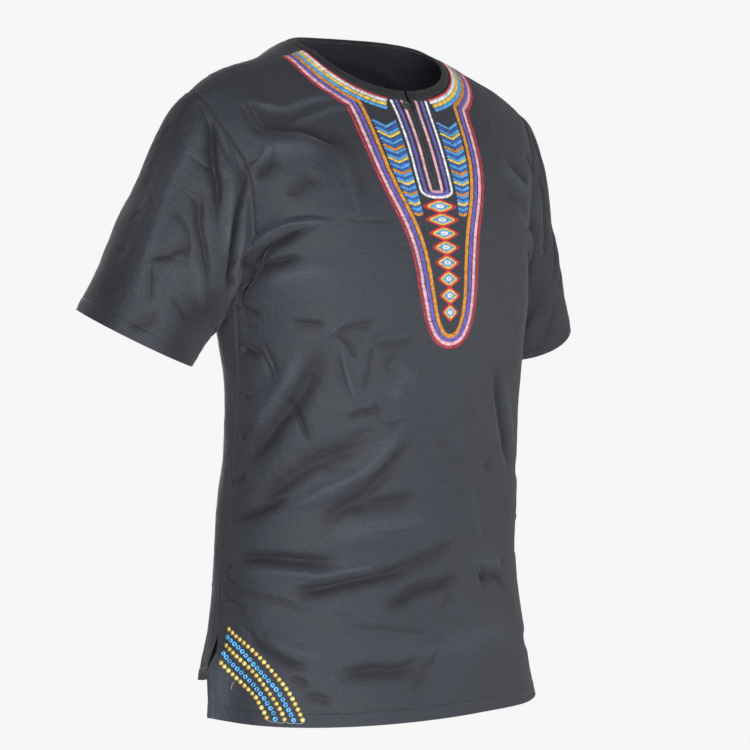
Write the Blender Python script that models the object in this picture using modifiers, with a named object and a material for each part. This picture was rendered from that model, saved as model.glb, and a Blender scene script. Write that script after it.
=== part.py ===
"""A short-sleeved pullover dashiki shirt, hanging as if it were worn.

Metres, +Z up. The origin lies midway between the two points where the shoulder seams meet
the neck edge, which is where the wearer holds the shirt up. The wearer faces -Y, so the
wearer's left is +X. The panels are lofts over a table of torso sections; the sleeves are
lofts from the armholes to the cuffs.
"""

import math
from collections import namedtuple

import bmesh
import bpy
import numpy as np
from mathutils import Matrix, Vector

# ---------------------------------------------------------------- driving dimensions
CLOTH_THICKNESS = 0.0012
SEAM_GAP = 0.0007
UNDERARM_GAP = 0.0024

FRONT_HEM = -0.7355
BACK_HEM = -0.706
HEM_RISE = 0.016
VENT_TOP = -0.620
VENT_OPENING = 0.012
UNDERARM = -0.280
SLIT_END = -0.1425
SLIT_WIDTH_TOP = 0.006
SLIT_WIDTH = 0.0016

NECK_HALF_WIDTH = 0.0877
FRONT_NECK_DROP = 0.0324
BACK_NECK_DROP = 0.015
NECKBAND_WIDTH = 0.009
NECKBAND_THICKNESS = 0.0018

SHOULDER_SLOPE = 0.26
SHOULDER_ROUNDING_START = 0.18
SHOULDER_ROUNDING = 3.8
SHOULDER_ARCH = 0.12
FRONT_SLOPE = 0.25
BACK_SLOPE = 0.17
LIFT_TOP = -0.05
LIFT_BOTTOM = -0.25
NAPE_SLOPE = 0.35
NAPE_WIDTH = 0.155

# The wearer's left shoulder stands a little lower and further in than the right one.
LEFT_DROP = 0.009
LEFT_TUCK = 0.012

BUTTON_RADIUS = 0.0054
BUTTON_THICKNESS = 0.0022
BUTTON_LIFT = 0.0024
SHANK_RADIUS = 0.0016
BUTTON_X = -0.0095
BUTTON_HEIGHT = -0.0485
LOOP_CORD = 0.0008
LOOP_RADIUS = 0.0029

# Rows and columns of the panels' faces. The sleeves and the neckband share the rows of the
# edges they are sewn to, so that every seam's two sides run parallel.
PANEL_COLUMNS = 12
VENT_ROWS = 4
SIDE_ROWS = 11
SLIT_ROWS = 6
NECK_ROWS = 8
SLEEVE_ROWS = 9

# Folds are placed on a flat chart of the cloth. On a panel, across is 0 on the centre line and
# HALF_CHART at a side seam; a sleeve's chart is as wide and as long as the sleeve.
HALF_CHART = 0.265
SLEEVE_ROUND = 0.430
SLEEVE_LENGTH = 0.270

# ---------------------------------------------------------------- tables
# Torso sections: the height, half the width, the depths in front of and behind the widest
# line, the y of that line and of the side seam, and how square the section is (2 is an ellipse).
Section = namedtuple("Section", "height half_width front back mid_y seam_y square")
TORSO = [
    Section(0.030, 0.262, 0.066, 0.084, 0.000, 0.000, 2.4),
    Section(-0.032, 0.258, 0.081, 0.100, 0.000, 0.000, 2.4),
    Section(-0.090, 0.246, 0.099, 0.110, 0.000, 0.000, 2.4),
    Section(-0.146, 0.224, 0.117, 0.112, 0.000, -0.004, 2.5),
    Section(-0.205, 0.211, 0.130, 0.107, 0.000, -0.010, 2.4),
    Section(-0.270, 0.204, 0.138, 0.102, 0.000, -0.018, 2.3),
    Section(-0.327, 0.196, 0.139, 0.099, 0.000, -0.014, 2.15),
    Section(-0.390, 0.190, 0.133, 0.098, -0.004, -0.006, 2.05),
    Section(-0.490, 0.193, 0.127, 0.106, 0.000, 0.004, 2.1),
    Section(-0.560, 0.197, 0.128, 0.108, 0.005, 0.013, 2.05),
    Section(-0.620, 0.203, 0.132, 0.110, 0.004, 0.010, 2.05),
    Section(-0.680, 0.212, 0.138, 0.113, 0.002, 0.006, 2.05),
    Section(-0.740, 0.222, 0.146, 0.118, 0.000, 0.000, 2.05),
]

# The armhole, from the shoulder tip to the underarm: its height and its distance from the
# centre plane on the front and on the back.
Armhole = namedtuple("Armhole", "height front_x back_x")
ARMHOLE = [
    Armhole(-0.0543, 0.2415, 0.2415),
    Armhole(-0.090, 0.227, 0.231),
    Armhole(-0.125, 0.2135, 0.220),
    Armhole(-0.165, 0.206, 0.212),
    Armhole(-0.205, 0.201, 0.207),
    Armhole(-0.243, 0.199, 0.205),
    Armhole(-0.285, 0.199, 0.205),
]

# Sleeve rings, halfway down and at the cuff: the centre, with x outwards; the direction the ring
# faces; half its size from the outer side to the inner one, and half its size front to back.
Ring = namedtuple("Ring", "x y z face_x face_y face_z half_out half_deep")
RIGHT_RINGS = [
    Ring(0.253, 0.022, -0.238, 0.84, 0.15, -0.55, 0.086, 0.066),
    Ring(0.290, 0.045, -0.318, 0.40, 0.30, -1.00, 0.0685, 0.067),
]
LEFT_RINGS = [
    Ring(0.248, 0.034, -0.248, 0.84, 0.15, -0.50, 0.078, 0.064),
    Ring(0.269, 0.045, -0.325, 0.40, 0.30, -1.00, 0.0685, 0.067),
]

# Folds: a line on the chart from (across, height) to (across, height), how far its middle
# bows sideways, its half width, and its depth, positive for a ridge.
Fold = namedtuple("Fold", "across_a height_a across_b height_b bow half_width depth")
FRONT_FOLDS = [
    Fold(-0.235, -0.240, -0.085, -0.184, 0.012, 0.014, 0.0045),
    Fold(-0.238, -0.264, -0.125, -0.203, 0.008, 0.014, -0.0045),
    Fold(-0.182, -0.126, -0.135, -0.102, 0.000, 0.013, 0.0035),
    Fold(-0.136, -0.330, -0.238, -0.446, 0.004, 0.018, 0.0035),
    Fold(-0.050, -0.409, -0.150, -0.443, 0.006, 0.016, -0.0035),
    Fold(-0.270, -0.562, -0.112, -0.558, -0.006, 0.013, 0.0040),
    Fold(-0.155, -0.592, -0.035, -0.574, 0.004, 0.012, 0.0040),
    Fold(-0.272, -0.590, -0.087, -0.627, 0.004, 0.013, -0.0040),
    Fold(0.000, -0.420, 0.075, -0.600, 0.010, 0.016, 0.0035),
    Fold(0.105, -0.350, 0.122, -0.470, 0.004, 0.018, -0.0035),
    Fold(0.238, -0.250, 0.110, -0.190, -0.010, 0.015, 0.0040),
    Fold(0.245, -0.590, 0.070, -0.615, -0.008, 0.015, 0.0035),
    Fold(-0.262, -0.665, -0.262, -0.745, 0.000, 0.022, 0.0100),
    Fold(0.262, -0.670, 0.262, -0.745, 0.000, 0.022, 0.0060),
]
BACK_FOLDS = [
    Fold(-0.235, -0.245, -0.110, -0.195, 0.012, 0.015, 0.0045),
    Fold(0.235, -0.250, 0.100, -0.190, -0.012, 0.015, 0.0040),
    Fold(-0.095, -0.230, -0.115, -0.510, 0.008, 0.020, 0.0040),
    Fold(0.100, -0.240, 0.130, -0.540, -0.006, 0.020, 0.0040),
    Fold(-0.210, -0.395, -0.020, -0.420, -0.008, 0.015, -0.0035),
    Fold(0.215, -0.430, 0.030, -0.445, 0.006, 0.015, 0.0035),
    Fold(0.240, -0.570, 0.060, -0.590, 0.006, 0.014, 0.0035),
    Fold(-0.240, -0.585, -0.080, -0.605, 0.004, 0.014, -0.0035),
]
# On a sleeve, across runs round from the shoulder seam down the front, and height from the armhole down.
SLEEVE_FOLDS = [
    Fold(0.040, -0.012, 0.078, -0.030, 0.000, 0.010, 0.0025),
    Fold(0.073, -0.037, 0.120, -0.080, 0.000, 0.012, -0.0035),
    Fold(0.094, -0.018, 0.150, -0.064, 0.000, 0.011, -0.0040),
    Fold(0.140, -0.036, 0.210, -0.095, 0.004, 0.013, 0.0040),
    Fold(0.122, -0.185, 0.160, -0.250, 0.000, 0.014, -0.0030),
    Fold(0.350, -0.040, 0.270, -0.095, 0.004, 0.013, 0.0040),
    Fold(0.330, -0.150, 0.290, -0.240, 0.000, 0.015, -0.0030),
]


# ---------------------------------------------------------------- small maths
def smooth_step(value):
    value = min(1.0, max(0.0, value))
    return value * value * (3.0 - 2.0 * value)


def read_table(rows, height):
    """The table's columns at a height, on a smooth curve through its rows, which go downwards."""
    height = min(rows[0].height, max(rows[-1].height, height))
    last = len(rows) - 1
    below = next(i for i in range(1, last + 1) if rows[i].height <= height)
    a, b = np.array(rows[below - 1]), np.array(rows[below])
    before, after = np.array(rows[max(below - 2, 0)]), np.array(rows[min(below + 1, last)])
    share = (height - a[0]) / (b[0] - a[0])
    span = b[0] - a[0]
    slope_a = (b - before) / (b[0] - before[0]) * span
    slope_b = (after - a) / (after[0] - a[0]) * span
    s2, s3 = share * share, share**3
    value = (
        (2 * s3 - 3 * s2 + 1) * a
        + (s3 - 2 * s2 + share) * slope_a
        + (3 * s2 - 2 * s3) * b
        + (s3 - s2) * slope_b
    )
    return type(rows[0])(*value)


def fold_height(folds, across, height):
    """How far the cloth stands out at a place on the chart, from all the folds near it."""
    total = 0.0
    for fold in folds:
        start = Vector((fold.across_a, fold.height_a))
        run = Vector((fold.across_b, fold.height_b)) - start
        offset = Vector((across, height)) - start
        along = offset.dot(run) / run.length_squared
        if not -0.3 < along < 1.3:
            continue
        sideways = (run.x * offset.y - run.y * offset.x) / run.length
        sideways -= fold.bow * 4 * along * (1 - along)
        taper = smooth_step((along + 0.3) / 0.45) * smooth_step((1.3 - along) / 0.45)
        total += fold.depth * taper * math.exp(-((sideways / fold.half_width) ** 2))
    return total


# ---------------------------------------------------------------- the torso's surface
def shoulder_height(x):
    """Height of the shoulder seam at a distance from the centre plane, carried on over the neck hole."""
    x = abs(x)
    if x < NECK_HALF_WIDTH:
        return SHOULDER_SLOPE * (NECK_HALF_WIDTH**2 - x * x) / (2 * NECK_HALF_WIDTH)
    beyond = max(0.0, x - SHOULDER_ROUNDING_START)
    return -SHOULDER_SLOPE * (x - NECK_HALF_WIDTH) - SHOULDER_ROUNDING * beyond**2


def turn_of(x, height, back=False):
    """The turn round the section at a distance x from the centre plane, on the front or the back."""
    section = read_table(TORSO, height)
    ratio = min(1.0, abs(x) / section.half_width)
    turn = math.asin(ratio ** (section.square / 2)) / (math.pi / 2)
    return 2 - turn if back else turn


def plain_x(turn, height):
    """Distance from the centre plane, before the left shoulder is tucked in."""
    section = read_table(TORSO, height)
    return section.half_width * max(0.0, math.sin(abs(turn) * math.pi / 2)) ** (2 / section.square)


def smooth_point(turn, height):
    """A point of the smooth torso. turn is 0 at the front's centre, 1 on the widest line, 2 at the
    back's centre, and less than nothing on the wearer's right."""
    section = read_table(TORSO, height)
    x = plain_x(turn, height)
    depth = abs(math.cos(turn * math.pi / 2)) ** (2 / section.square)
    drop = min(1.0, max(0.0, (shoulder_height(x) - height) / SHOULDER_ARCH))
    depth *= math.sqrt(max(0.0, 1 - (1 - drop) ** 2))
    y = section.mid_y + (section.back * depth if abs(turn) > 1 else -section.front * depth)
    slope = BACK_SLOPE + NAPE_SLOPE * smooth_step((NAPE_WIDTH - x) / 0.08) if y > 0 else FRONT_SLOPE
    z = height + slope * y * smooth_step((height - LIFT_BOTTOM) / (LIFT_TOP - LIFT_BOTTOM))
    if turn > 0:
        z -= LEFT_DROP * smooth_step((x - 0.04) / 0.20)
        x -= LEFT_TUCK * smooth_step((x - 0.10) / 0.12) * smooth_step((height + 0.34) / 0.14)
    return Vector((math.copysign(x, turn), y, z))


def outward(turn, height):
    """Unit normal of the smooth torso, pointing out of the shirt."""
    step = 0.004
    across = smooth_point(turn + step, height) - smooth_point(turn - step, height)
    up = smooth_point(turn, height + step / 4) - smooth_point(turn, height - step / 4)
    return across.cross(up).normalized()


# ---------------------------------------------------------------- panel outlines
def neck_place(back, angle, away):
    """(turn, height) on the line at a distance from the neck edge; angle 0 is the centre line."""
    x = (NECK_HALF_WIDTH + away) * math.sin(angle)
    top = shoulder_height(NECK_HALF_WIDTH + away)
    pit = -(BACK_NECK_DROP if back else FRONT_NECK_DROP) - away * 0.9
    height = top - (top - pit) * math.cos(angle) ** 1.15
    height = min(height, shoulder_height(x))
    return turn_of(x, height, back), height


def seam_turn(back, height):
    """Turn of the side seam, and of each panel's edge beside the vent below it."""
    section = read_table(TORSO, height)
    opening = VENT_OPENING * smooth_step((VENT_TOP - height) / (VENT_TOP - FRONT_HEM))
    offset = section.seam_y - section.mid_y + (opening / 2 if back else -opening / 2)
    depth = abs(offset) / (section.back if offset > 0 else section.front)
    quarter = math.asin(depth ** (section.square / 2)) / (math.pi / 2)
    return 1 + quarter if offset > 0 else 1 - quarter


def cloth_point(back, turn, height):
    """A point of the middle of the cloth, folds and all; folds die out at the side and shoulder seams."""
    point = smooth_point(turn, height)
    across = math.copysign(2 - abs(turn) if back else abs(turn), turn) * HALF_CHART
    beside_seam = abs(seam_turn(back, height) - abs(turn)) * HALF_CHART
    fade = max(smooth_step(beside_seam / 0.025), smooth_step((VENT_TOP - height) / 0.05))
    fade *= smooth_step((shoulder_height(plain_x(turn, height)) - height) / 0.03)
    rise = fade * fold_height(BACK_FOLDS if back else FRONT_FOLDS, across, height)
    if rise:
        point += outward(turn, height) * rise
    if back:
        point.y += SEAM_GAP
    return point


def armhole_place(back, share):
    """(turn, height) on the armhole; share 0 is the underarm and 1 the shoulder tip."""
    tip = ARMHOLE[0].height
    height = (tip + UNDERARM) / 2 - (tip - UNDERARM) / 2 * math.cos(share * math.pi)
    row = read_table(ARMHOLE, height)
    turn = turn_of(row.back_x if back else row.front_x, height, back)
    turn += (seam_turn(back, height) - turn) * smooth_step(1 - share / 0.3)
    return turn, height


# ---------------------------------------------------------------- mesh helpers
def new_object(name, mesh, material, collection):
    item = bpy.data.objects.new(name, mesh)
    item.data.materials.append(material)
    collection.objects.link(item)
    return item


def add_grid(bm, columns, rows, place):
    """Adds a grid whose vertices are put where place(u, v) says; u and v run from 0 to 1."""
    made = bmesh.ops.create_grid(bm, x_segments=columns, y_segments=rows, size=0.5)
    for vertex in made["verts"]:
        vertex.co = place(vertex.co.x + 0.5, vertex.co.y + 0.5)


def finish_shell(bm, name, inside, material, collection, thickness=CLOTH_THICKNESS):
    """Welds the grids, turns the faces away from the point inside(centre) and gives the cloth its wall."""
    bmesh.ops.remove_doubles(bm, verts=bm.verts, dist=1e-5)
    bmesh.ops.recalc_face_normals(bm, faces=bm.faces)
    facing = 0.0
    for face in bm.faces:
        centre = face.calc_center_median()
        facing += face.normal.dot(centre - inside(centre)) * face.calc_area()
    if facing < 0:
        bmesh.ops.reverse_faces(bm, faces=bm.faces)
    mesh = bpy.data.meshes.new(name)
    bm.to_mesh(mesh)
    bm.free()
    item = new_object(name, mesh, material, collection)
    wall = item.modifiers.new("wall", "SOLIDIFY")
    wall.thickness = thickness
    wall.offset = 0.0
    return item


def make_material(name, colour, roughness, metallic=0.0):
    material = bpy.data.materials.new(name)
    material.use_nodes = True
    shader = material.node_tree.nodes["Principled BSDF"]
    shader.inputs["Base Color"].default_value = (*colour, 1.0)
    shader.inputs["Roughness"].default_value = roughness
    shader.inputs["Metallic"].default_value = metallic
    material.diffuse_color = (*colour, 1.0)
    return material


# ---------------------------------------------------------------- panels
def panel_place(back, side, u, row):
    """A point of half a panel: u runs from the centre or neck to the seam or armhole, row from the hem up."""
    hem, centre = (BACK_HEM, 2.0) if back else (FRONT_HEM, 0.0)
    side_row, slit_row = VENT_ROWS + SIDE_ROWS, VENT_ROWS + SIDE_ROWS + SLIT_ROWS
    neck_away = NECKBAND_WIDTH + SEAM_GAP
    curve = 0.0
    if row <= side_row:
        if row <= VENT_ROWS:
            height = hem + (VENT_TOP - hem) * row / VENT_ROWS
        else:
            height = VENT_TOP + (UNDERARM - VENT_TOP) * (row - VENT_ROWS) / SIDE_ROWS
        inner, outer = (centre, height), (seam_turn(back, height), height)
    else:
        part = (row - side_row) / (SLIT_ROWS + NECK_ROWS)
        outer = armhole_place(back, part)
        if row <= slit_row:
            pit = neck_place(back, 0.0, neck_away)[1]
            inner = (centre, UNDERARM + (pit - UNDERARM) * (row - side_row) / SLIT_ROWS)
        else:
            inner = neck_place(back, (row - slit_row) / NECK_ROWS * math.pi / 2, neck_away)
        curve = smooth_step((part - 0.5) / 0.5)
    turn = inner[0] + (outer[0] - inner[0]) * u
    height = inner[1] + (outer[1] - inner[1]) * u
    if row < VENT_ROWS:
        height += HEM_RISE * u**3 * (1 - row / VENT_ROWS)
    if curve:
        x, x_in, x_out = (plain_x(*place) for place in ((turn, height), inner, outer))
        chord = shoulder_height(x_in) * (1 - u) + shoulder_height(x_out) * u
        height += (shoulder_height(x) - chord) * curve
    point = cloth_point(back, side * turn, height)
    if inner[0] == 0.0 and height > SLIT_END:
        opened = (height - SLIT_END) / (-FRONT_NECK_DROP - SLIT_END)
        half_gap = SLIT_WIDTH / 2 * smooth_step(opened * 4)
        half_gap += (SLIT_WIDTH_TOP - SLIT_WIDTH) / 2 * smooth_step((opened - 0.75) / 0.25)
        point.x += side * half_gap * (1 - u) ** 4
    return point


def make_panel(name, back, material, collection):
    bm = bmesh.new()
    rows = VENT_ROWS + SIDE_ROWS + SLIT_ROWS + NECK_ROWS
    for side in (-1, 1):
        add_grid(bm, PANEL_COLUMNS, rows, lambda u, v, side=side: panel_place(back, side, u, v * rows))
    return finish_shell(bm, name, lambda c: Vector((0, 0, c.z)), material, collection)


def neckband_place(u, v):
    """u runs from the slit's right edge round the back to its left edge, v from the neck edge down."""
    away = v * NECKBAND_WIDTH
    turn_round = u * 4
    back = 1.0 <= turn_round <= 3.0
    side = -1 if u < 0.5 else 1
    quarter = abs(turn_round - 2) if back else min(turn_round, 4 - turn_round)
    angle = quarter * math.pi / 2
    turn, height = neck_place(back, angle, away)
    point = smooth_point(side * turn, height)
    if quarter < 0.3 and not back:
        point.x += side * SLIT_WIDTH_TOP / 2 * (1 - quarter / 0.3) ** 2
    return point


def make_neckband(material, collection):
    bm = bmesh.new()
    add_grid(bm, 4 * NECK_ROWS, 2, neckband_place)
    return finish_shell(bm, "neckband", lambda c: Vector((0, 0, c.z - 0.05)), material, collection,
                        NECKBAND_THICKNESS)


# ---------------------------------------------------------------- sleeves
def armhole_point(side, around):
    """A point of the sleeve's sewn edge; around runs 0..1 from the shoulder tip down the front and up the back."""
    back = around > 0.5
    share = 2 * around - 1 if back else 1 - 2 * around
    turn, height = armhole_place(back, share)
    point = cloth_point(back and 0 < share < 1, side * turn, height)
    point.x += side * (SEAM_GAP + UNDERARM_GAP * (1 - share) ** 2)
    return point


def ring_point(side, ring, around):
    """A point of a sleeve ring, matched to the armhole's; around 0 is the outer side."""
    facing = Vector((ring.face_x, ring.face_y, ring.face_z)).normalized()
    out = Vector((1, 0, 0)) if ring.face_x < 0.7 else Vector((0, 0, 1))
    out = (out - facing * out.dot(facing)).normalized()
    forward = facing.cross(out)
    angle = around * 2 * math.pi
    point = Vector((ring.x, ring.y, ring.z))
    point += out * (ring.half_out * math.cos(angle)) + forward * (ring.half_deep * math.sin(angle))
    point.x *= side
    return point


def hermite(start, leave, end, arrive, share):
    """A point on the cubic between two points that leaves and arrives with the given directions."""
    s2, s3 = share * share, share**3
    return (
        start * (2 * s3 - 3 * s2 + 1)
        + leave * (s3 - 2 * s2 + share)
        + end * (3 * s2 - 2 * s3)
        + arrive * (s3 - s2)
    )


def smooth_sleeve(side, around, along):
    """A point of the smooth sleeve between its sewn edge, along 0, and the cuff, along 1."""
    around %= 1.0
    middle_ring, cuff_ring = LEFT_RINGS if side > 0 else RIGHT_RINGS
    start = armhole_point(side, around)
    middle, end = ring_point(side, middle_ring, around), ring_point(side, cuff_ring, around)
    top = 0.5 + 0.5 * math.cos(around * 2 * math.pi)
    leave = Vector((side * 0.85, 0.0, -0.35)).normalized() * top
    leave += Vector((side * 0.42, 0.10, -0.9)).normalized() * (1 - top)
    leave *= (middle - start).length
    onward = (end - start) / 2
    if along < 0.5:
        return hermite(start, leave, middle, onward, along * 2)
    return hermite(middle, onward, end, (end - middle) * 1.1, along * 2 - 1)


def sleeve_point(side, around, along):
    """A point of the sleeve with its folds, which die out at the armhole."""
    point = smooth_sleeve(side, around, along)
    rise = fold_height(SLEEVE_FOLDS, around * SLEEVE_ROUND, -along * SLEEVE_LENGTH)
    rise *= smooth_step(along / 0.12)
    if abs(rise) > 1e-6:
        step = 0.01
        across = smooth_sleeve(side, around + step, along) - smooth_sleeve(side, around - step, along)
        down = smooth_sleeve(side, around, min(1.0, along + step)) - smooth_sleeve(side, around, along - step)
        point += down.cross(across).normalized() * (rise * -side)
    return point


def make_sleeve(name, side, material, collection):
    bm = bmesh.new()
    add_grid(bm, 2 * (SLIT_ROWS + NECK_ROWS), SLEEVE_ROWS, lambda u, v: sleeve_point(side, u, v))

    def inside(centre):
        drop = min(1.0, max(0.0, (-0.10 - centre.z) / 0.21))
        return Vector((side * (0.20 + 0.085 * drop), 0.045 * drop, centre.z))

    return finish_shell(bm, name, inside, material, collection)


# ---------------------------------------------------------------- button and loop
def button_frame():
    """Matrix whose +Z is the cloth's outward normal at the button, with its origin on the cloth."""
    turn = -turn_of(BUTTON_X, BUTTON_HEIGHT)
    point = smooth_point(turn, BUTTON_HEIGHT)
    normal = outward(turn, BUTTON_HEIGHT)
    across = Vector((1, 0, 0))
    across = (across - normal * across.dot(normal)).normalized()
    up = normal.cross(across)
    point += normal * CLOTH_THICKNESS / 2
    return Matrix.Translation(point) @ Matrix((across, up, normal)).transposed().to_4x4()


def make_button(material, collection):
    """A turned button: a dished disc on a shank, sewn to the cloth by the shank's foot."""
    top = BUTTON_LIFT + BUTTON_THICKNESS
    profile = [
        (0.0, top - 0.0007),
        (BUTTON_RADIUS * 0.62, top - 0.0007),
        (BUTTON_RADIUS * 0.75, top),
        (BUTTON_RADIUS * 0.92, top - 0.0001),
        (BUTTON_RADIUS, top - 0.0008),
        (BUTTON_RADIUS * 0.9, BUTTON_LIFT),
        (SHANK_RADIUS, BUTTON_LIFT),
        (SHANK_RADIUS, 0.0003),
        (0.0, 0.0003),
    ]
    mesh = bpy.data.meshes.new("neck_button")
    mesh.from_pydata([(x, 0, z) for x, z in profile], [(i, i + 1) for i in range(len(profile) - 1)], [])
    item = new_object("neck_button", mesh, material, collection)
    item.matrix_world = button_frame()
    turned = item.modifiers.new("turned", "SCREW")
    turned.steps = turned.render_steps = 24
    turned.use_merge_vertices = True
    turned.merge_threshold = 0.00005
    return item


def make_loop(material, collection):
    """The cord loop, sewn to the slit's left edge, that passes round the button's shank."""
    curve = bpy.data.curves.new("button_loop", "CURVE")
    curve.dimensions = "3D"
    curve.bevel_depth = LOOP_CORD
    curve.bevel_resolution = 2
    height = 0.0003 + LOOP_CORD
    tail_x = -BUTTON_X + 0.004
    places = [(tail_x, -LOOP_RADIUS * 0.6), (tail_x - 0.002, -LOOP_RADIUS * 0.95)]
    for step in range(9):
        angle = -math.pi / 2 - math.pi * step / 8
        places.append((LOOP_RADIUS * math.cos(angle), LOOP_RADIUS * math.sin(angle)))
    places += [(tail_x - 0.002, LOOP_RADIUS * 0.95), (tail_x, LOOP_RADIUS * 0.6)]
    spline = curve.splines.new("POLY")
    spline.points.add(len(places) - 1)
    spline.use_cyclic_u = True
    for target, (x, y) in zip(spline.points, places):
        target.co = (x, y, height, 1)
    item = bpy.data.objects.new("button_loop", curve)
    item.data.materials.append(material)
    collection.objects.link(item)
    item.matrix_world = button_frame()
    return item


# ---------------------------------------------------------------- the shirt
def main():
    for item in list(bpy.data.objects):
        bpy.data.objects.remove(item, do_unlink=True)
    shirt = bpy.data.collections.new("dashiki_shirt")
    bpy.context.scene.collection.children.link(shirt)
    cloth = make_material("black_sateen", (0.030, 0.032, 0.042), 0.55)
    band = make_material("black_binding", (0.018, 0.018, 0.020), 0.75)
    horn = make_material("dark_button", (0.030, 0.030, 0.032), 0.35)
    cord = make_material("black_cord", (0.015, 0.015, 0.016), 0.8)

    make_panel("front_panel", False, cloth, shirt)
    make_panel("back_panel", True, cloth, shirt)
    make_sleeve("sleeve_right", -1, cloth, shirt)
    make_sleeve("sleeve_left", 1, cloth, shirt)
    make_neckband(band, shirt)
    make_button(horn, shirt)
    make_loop(cord, shirt)


main()
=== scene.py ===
# A black sateen dashiki shirt: cloth shells with their folds, neck embroidery, hem beads, studio.
# Metres, +Z up. The wearer would face -Y, so the wearer's right is -X.
import math

import bmesh
import bpy
import numpy as np
from mathutils import Matrix, Vector


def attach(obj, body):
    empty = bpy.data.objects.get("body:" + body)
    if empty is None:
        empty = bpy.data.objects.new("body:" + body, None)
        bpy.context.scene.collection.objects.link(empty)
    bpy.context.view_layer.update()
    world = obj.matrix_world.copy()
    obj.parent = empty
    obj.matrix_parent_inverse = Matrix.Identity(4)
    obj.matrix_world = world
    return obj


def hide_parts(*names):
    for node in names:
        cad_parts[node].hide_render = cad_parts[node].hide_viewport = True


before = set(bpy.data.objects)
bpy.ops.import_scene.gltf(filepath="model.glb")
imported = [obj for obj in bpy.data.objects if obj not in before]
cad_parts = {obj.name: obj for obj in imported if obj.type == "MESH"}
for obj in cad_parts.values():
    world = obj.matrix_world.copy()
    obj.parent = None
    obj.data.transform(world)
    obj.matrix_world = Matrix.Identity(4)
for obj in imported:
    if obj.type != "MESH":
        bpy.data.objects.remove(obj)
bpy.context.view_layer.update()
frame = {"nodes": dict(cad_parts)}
print("frame loaded:", ", ".join(frame["nodes"]))

# the form of the shirt, the same as the solids'
form = {
    "frontHem": -0.7355,
    "backHem": -0.706,
    "hemRise": {-1: 0.005, 1: 0.016},  # of the front, at the right and the left side seam
    "backHemRise": 0.016,
    "ventTop": -0.620,
    "ventOpening": 0.012,
    "ventSpread": 0.0045,  # and the back's edge stands this much further back at the hem
    "underarm": -0.280,
    "slitEnd": -0.1425,
    "slitWidthTop": 0.006,
    "slitWidth": 0.0016,
    "shoulderSlope": 0.26,
    "shoulderTip": 0.18,  # from here outwards the shoulder falls off faster
    "tipFall": 3.8,
    "roundOver": 0.12,  # below the shoulder, the body takes this far to reach its full depth
    "leftDrop": 0.009,  # the left shoulder stands a little lower and further in
    "leftInset": 0.012,
    "neckHalfWidth": 0.0877,
    "frontNeckDrop": 0.0324,
    "backNeckDrop": 0.015,
    "neckEdge": 0.0097,  # from the neck line to the panels' edge under the binding
    "rows": (4, 11, 14),  # of the solids: beside the vent, up the side and up the armhole
    "neckRows": 8,  # the last of them, along the neck
    "halfChart": 0.265,  # a panel's chart runs from 0 at the centre to this at the side seam
    "sleeveRound": 0.430,
    "sleeveLength": 0.270,
}
# going down: height, half width, depth in front of and behind the widest line, the y of that
# line, the y of the side seam, and how square the section is (2 is an ellipse)
torsoRows = np.array([
    (0.030, 0.262, 0.066, 0.084, 0.000, 0.000, 2.4),
    (-0.032, 0.258, 0.081, 0.100, 0.000, 0.000, 2.4),
    (-0.090, 0.246, 0.099, 0.110, 0.000, 0.000, 2.4),
    (-0.146, 0.224, 0.117, 0.112, 0.000, -0.004, 2.5),
    (-0.205, 0.211, 0.130, 0.107, 0.000, -0.010, 2.4),
    (-0.270, 0.204, 0.138, 0.102, 0.000, -0.018, 2.3),
    (-0.327, 0.196, 0.139, 0.099, 0.000, -0.014, 2.15),
    (-0.390, 0.190, 0.133, 0.098, -0.004, -0.006, 2.05),
    (-0.490, 0.193, 0.127, 0.106, 0.000, 0.004, 2.1),
    (-0.560, 0.197, 0.128, 0.108, 0.005, 0.013, 2.05),
    (-0.620, 0.203, 0.132, 0.110, 0.004, 0.010, 2.05),
    (-0.680, 0.212, 0.138, 0.113, 0.002, 0.006, 2.05),
    (-0.740, 0.222, 0.146, 0.118, 0.000, 0.000, 2.05),
])
# the armhole, going down: height, distance from the centre plane on the front and on the back
armholeRows = np.array([
    (-0.0543, 0.2415, 0.2415),
    (-0.090, 0.227, 0.231),
    (-0.125, 0.2135, 0.220),
    (-0.165, 0.206, 0.212),
    (-0.205, 0.201, 0.207),
    (-0.243, 0.199, 0.205),
    (-0.285, 0.199, 0.205),
])
# sleeve rings, middle and cuff: centre with x outwards, facing, half size out and half size deep
sleeveRings = {
    -1: [((0.253, 0.022, -0.238), (0.84, 0.15, -0.55), 0.086, 0.066),
         ((0.290, 0.045, -0.318), (0.40, 0.30, -1.00), 0.0685, 0.067)],
    1: [((0.248, 0.034, -0.248), (0.84, 0.15, -0.50), 0.078, 0.064),
        ((0.269, 0.045, -0.325), (0.40, 0.30, -1.00), 0.0685, 0.067)],
}


def smoothStep(value):
    value = np.clip(value, 0.0, 1.0)
    return value * value * (3.0 - 2.0 * value)


def smoothBetween(first, last, leaving, arriving, share):
    # a place on the curve from one point to another with the given slopes at its ends
    s2, s3 = share**2, share**3
    return (first * (2 * s3 - 3 * s2 + 1) + leaving * (s3 - 2 * s2 + share)
            + last * (3 * s2 - 2 * s3) + arriving * (s3 - s2))


def readRows(rows, height):
    # a table's columns at each height, on a smooth curve through its rows
    tops = rows[:, 0]
    height = np.clip(np.asarray(height, float), tops[-1], tops[0])
    below = np.clip(np.searchsorted(-tops, -height), 1, len(rows) - 1)
    a, b = rows[below - 1], rows[below]
    before, after = rows[np.maximum(below - 2, 0)], rows[np.minimum(below + 1, len(rows) - 1)]
    span = b[..., :1] - a[..., :1]
    share = (height[..., None] - a[..., :1]) / span
    slopeA = (b - before) / (b[..., :1] - before[..., :1]) * span
    slopeB = (after - a) / (after[..., :1] - a[..., :1]) * span
    return np.moveaxis(smoothBetween(a, b, slopeA, slopeB, share), -1, 0)


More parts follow.
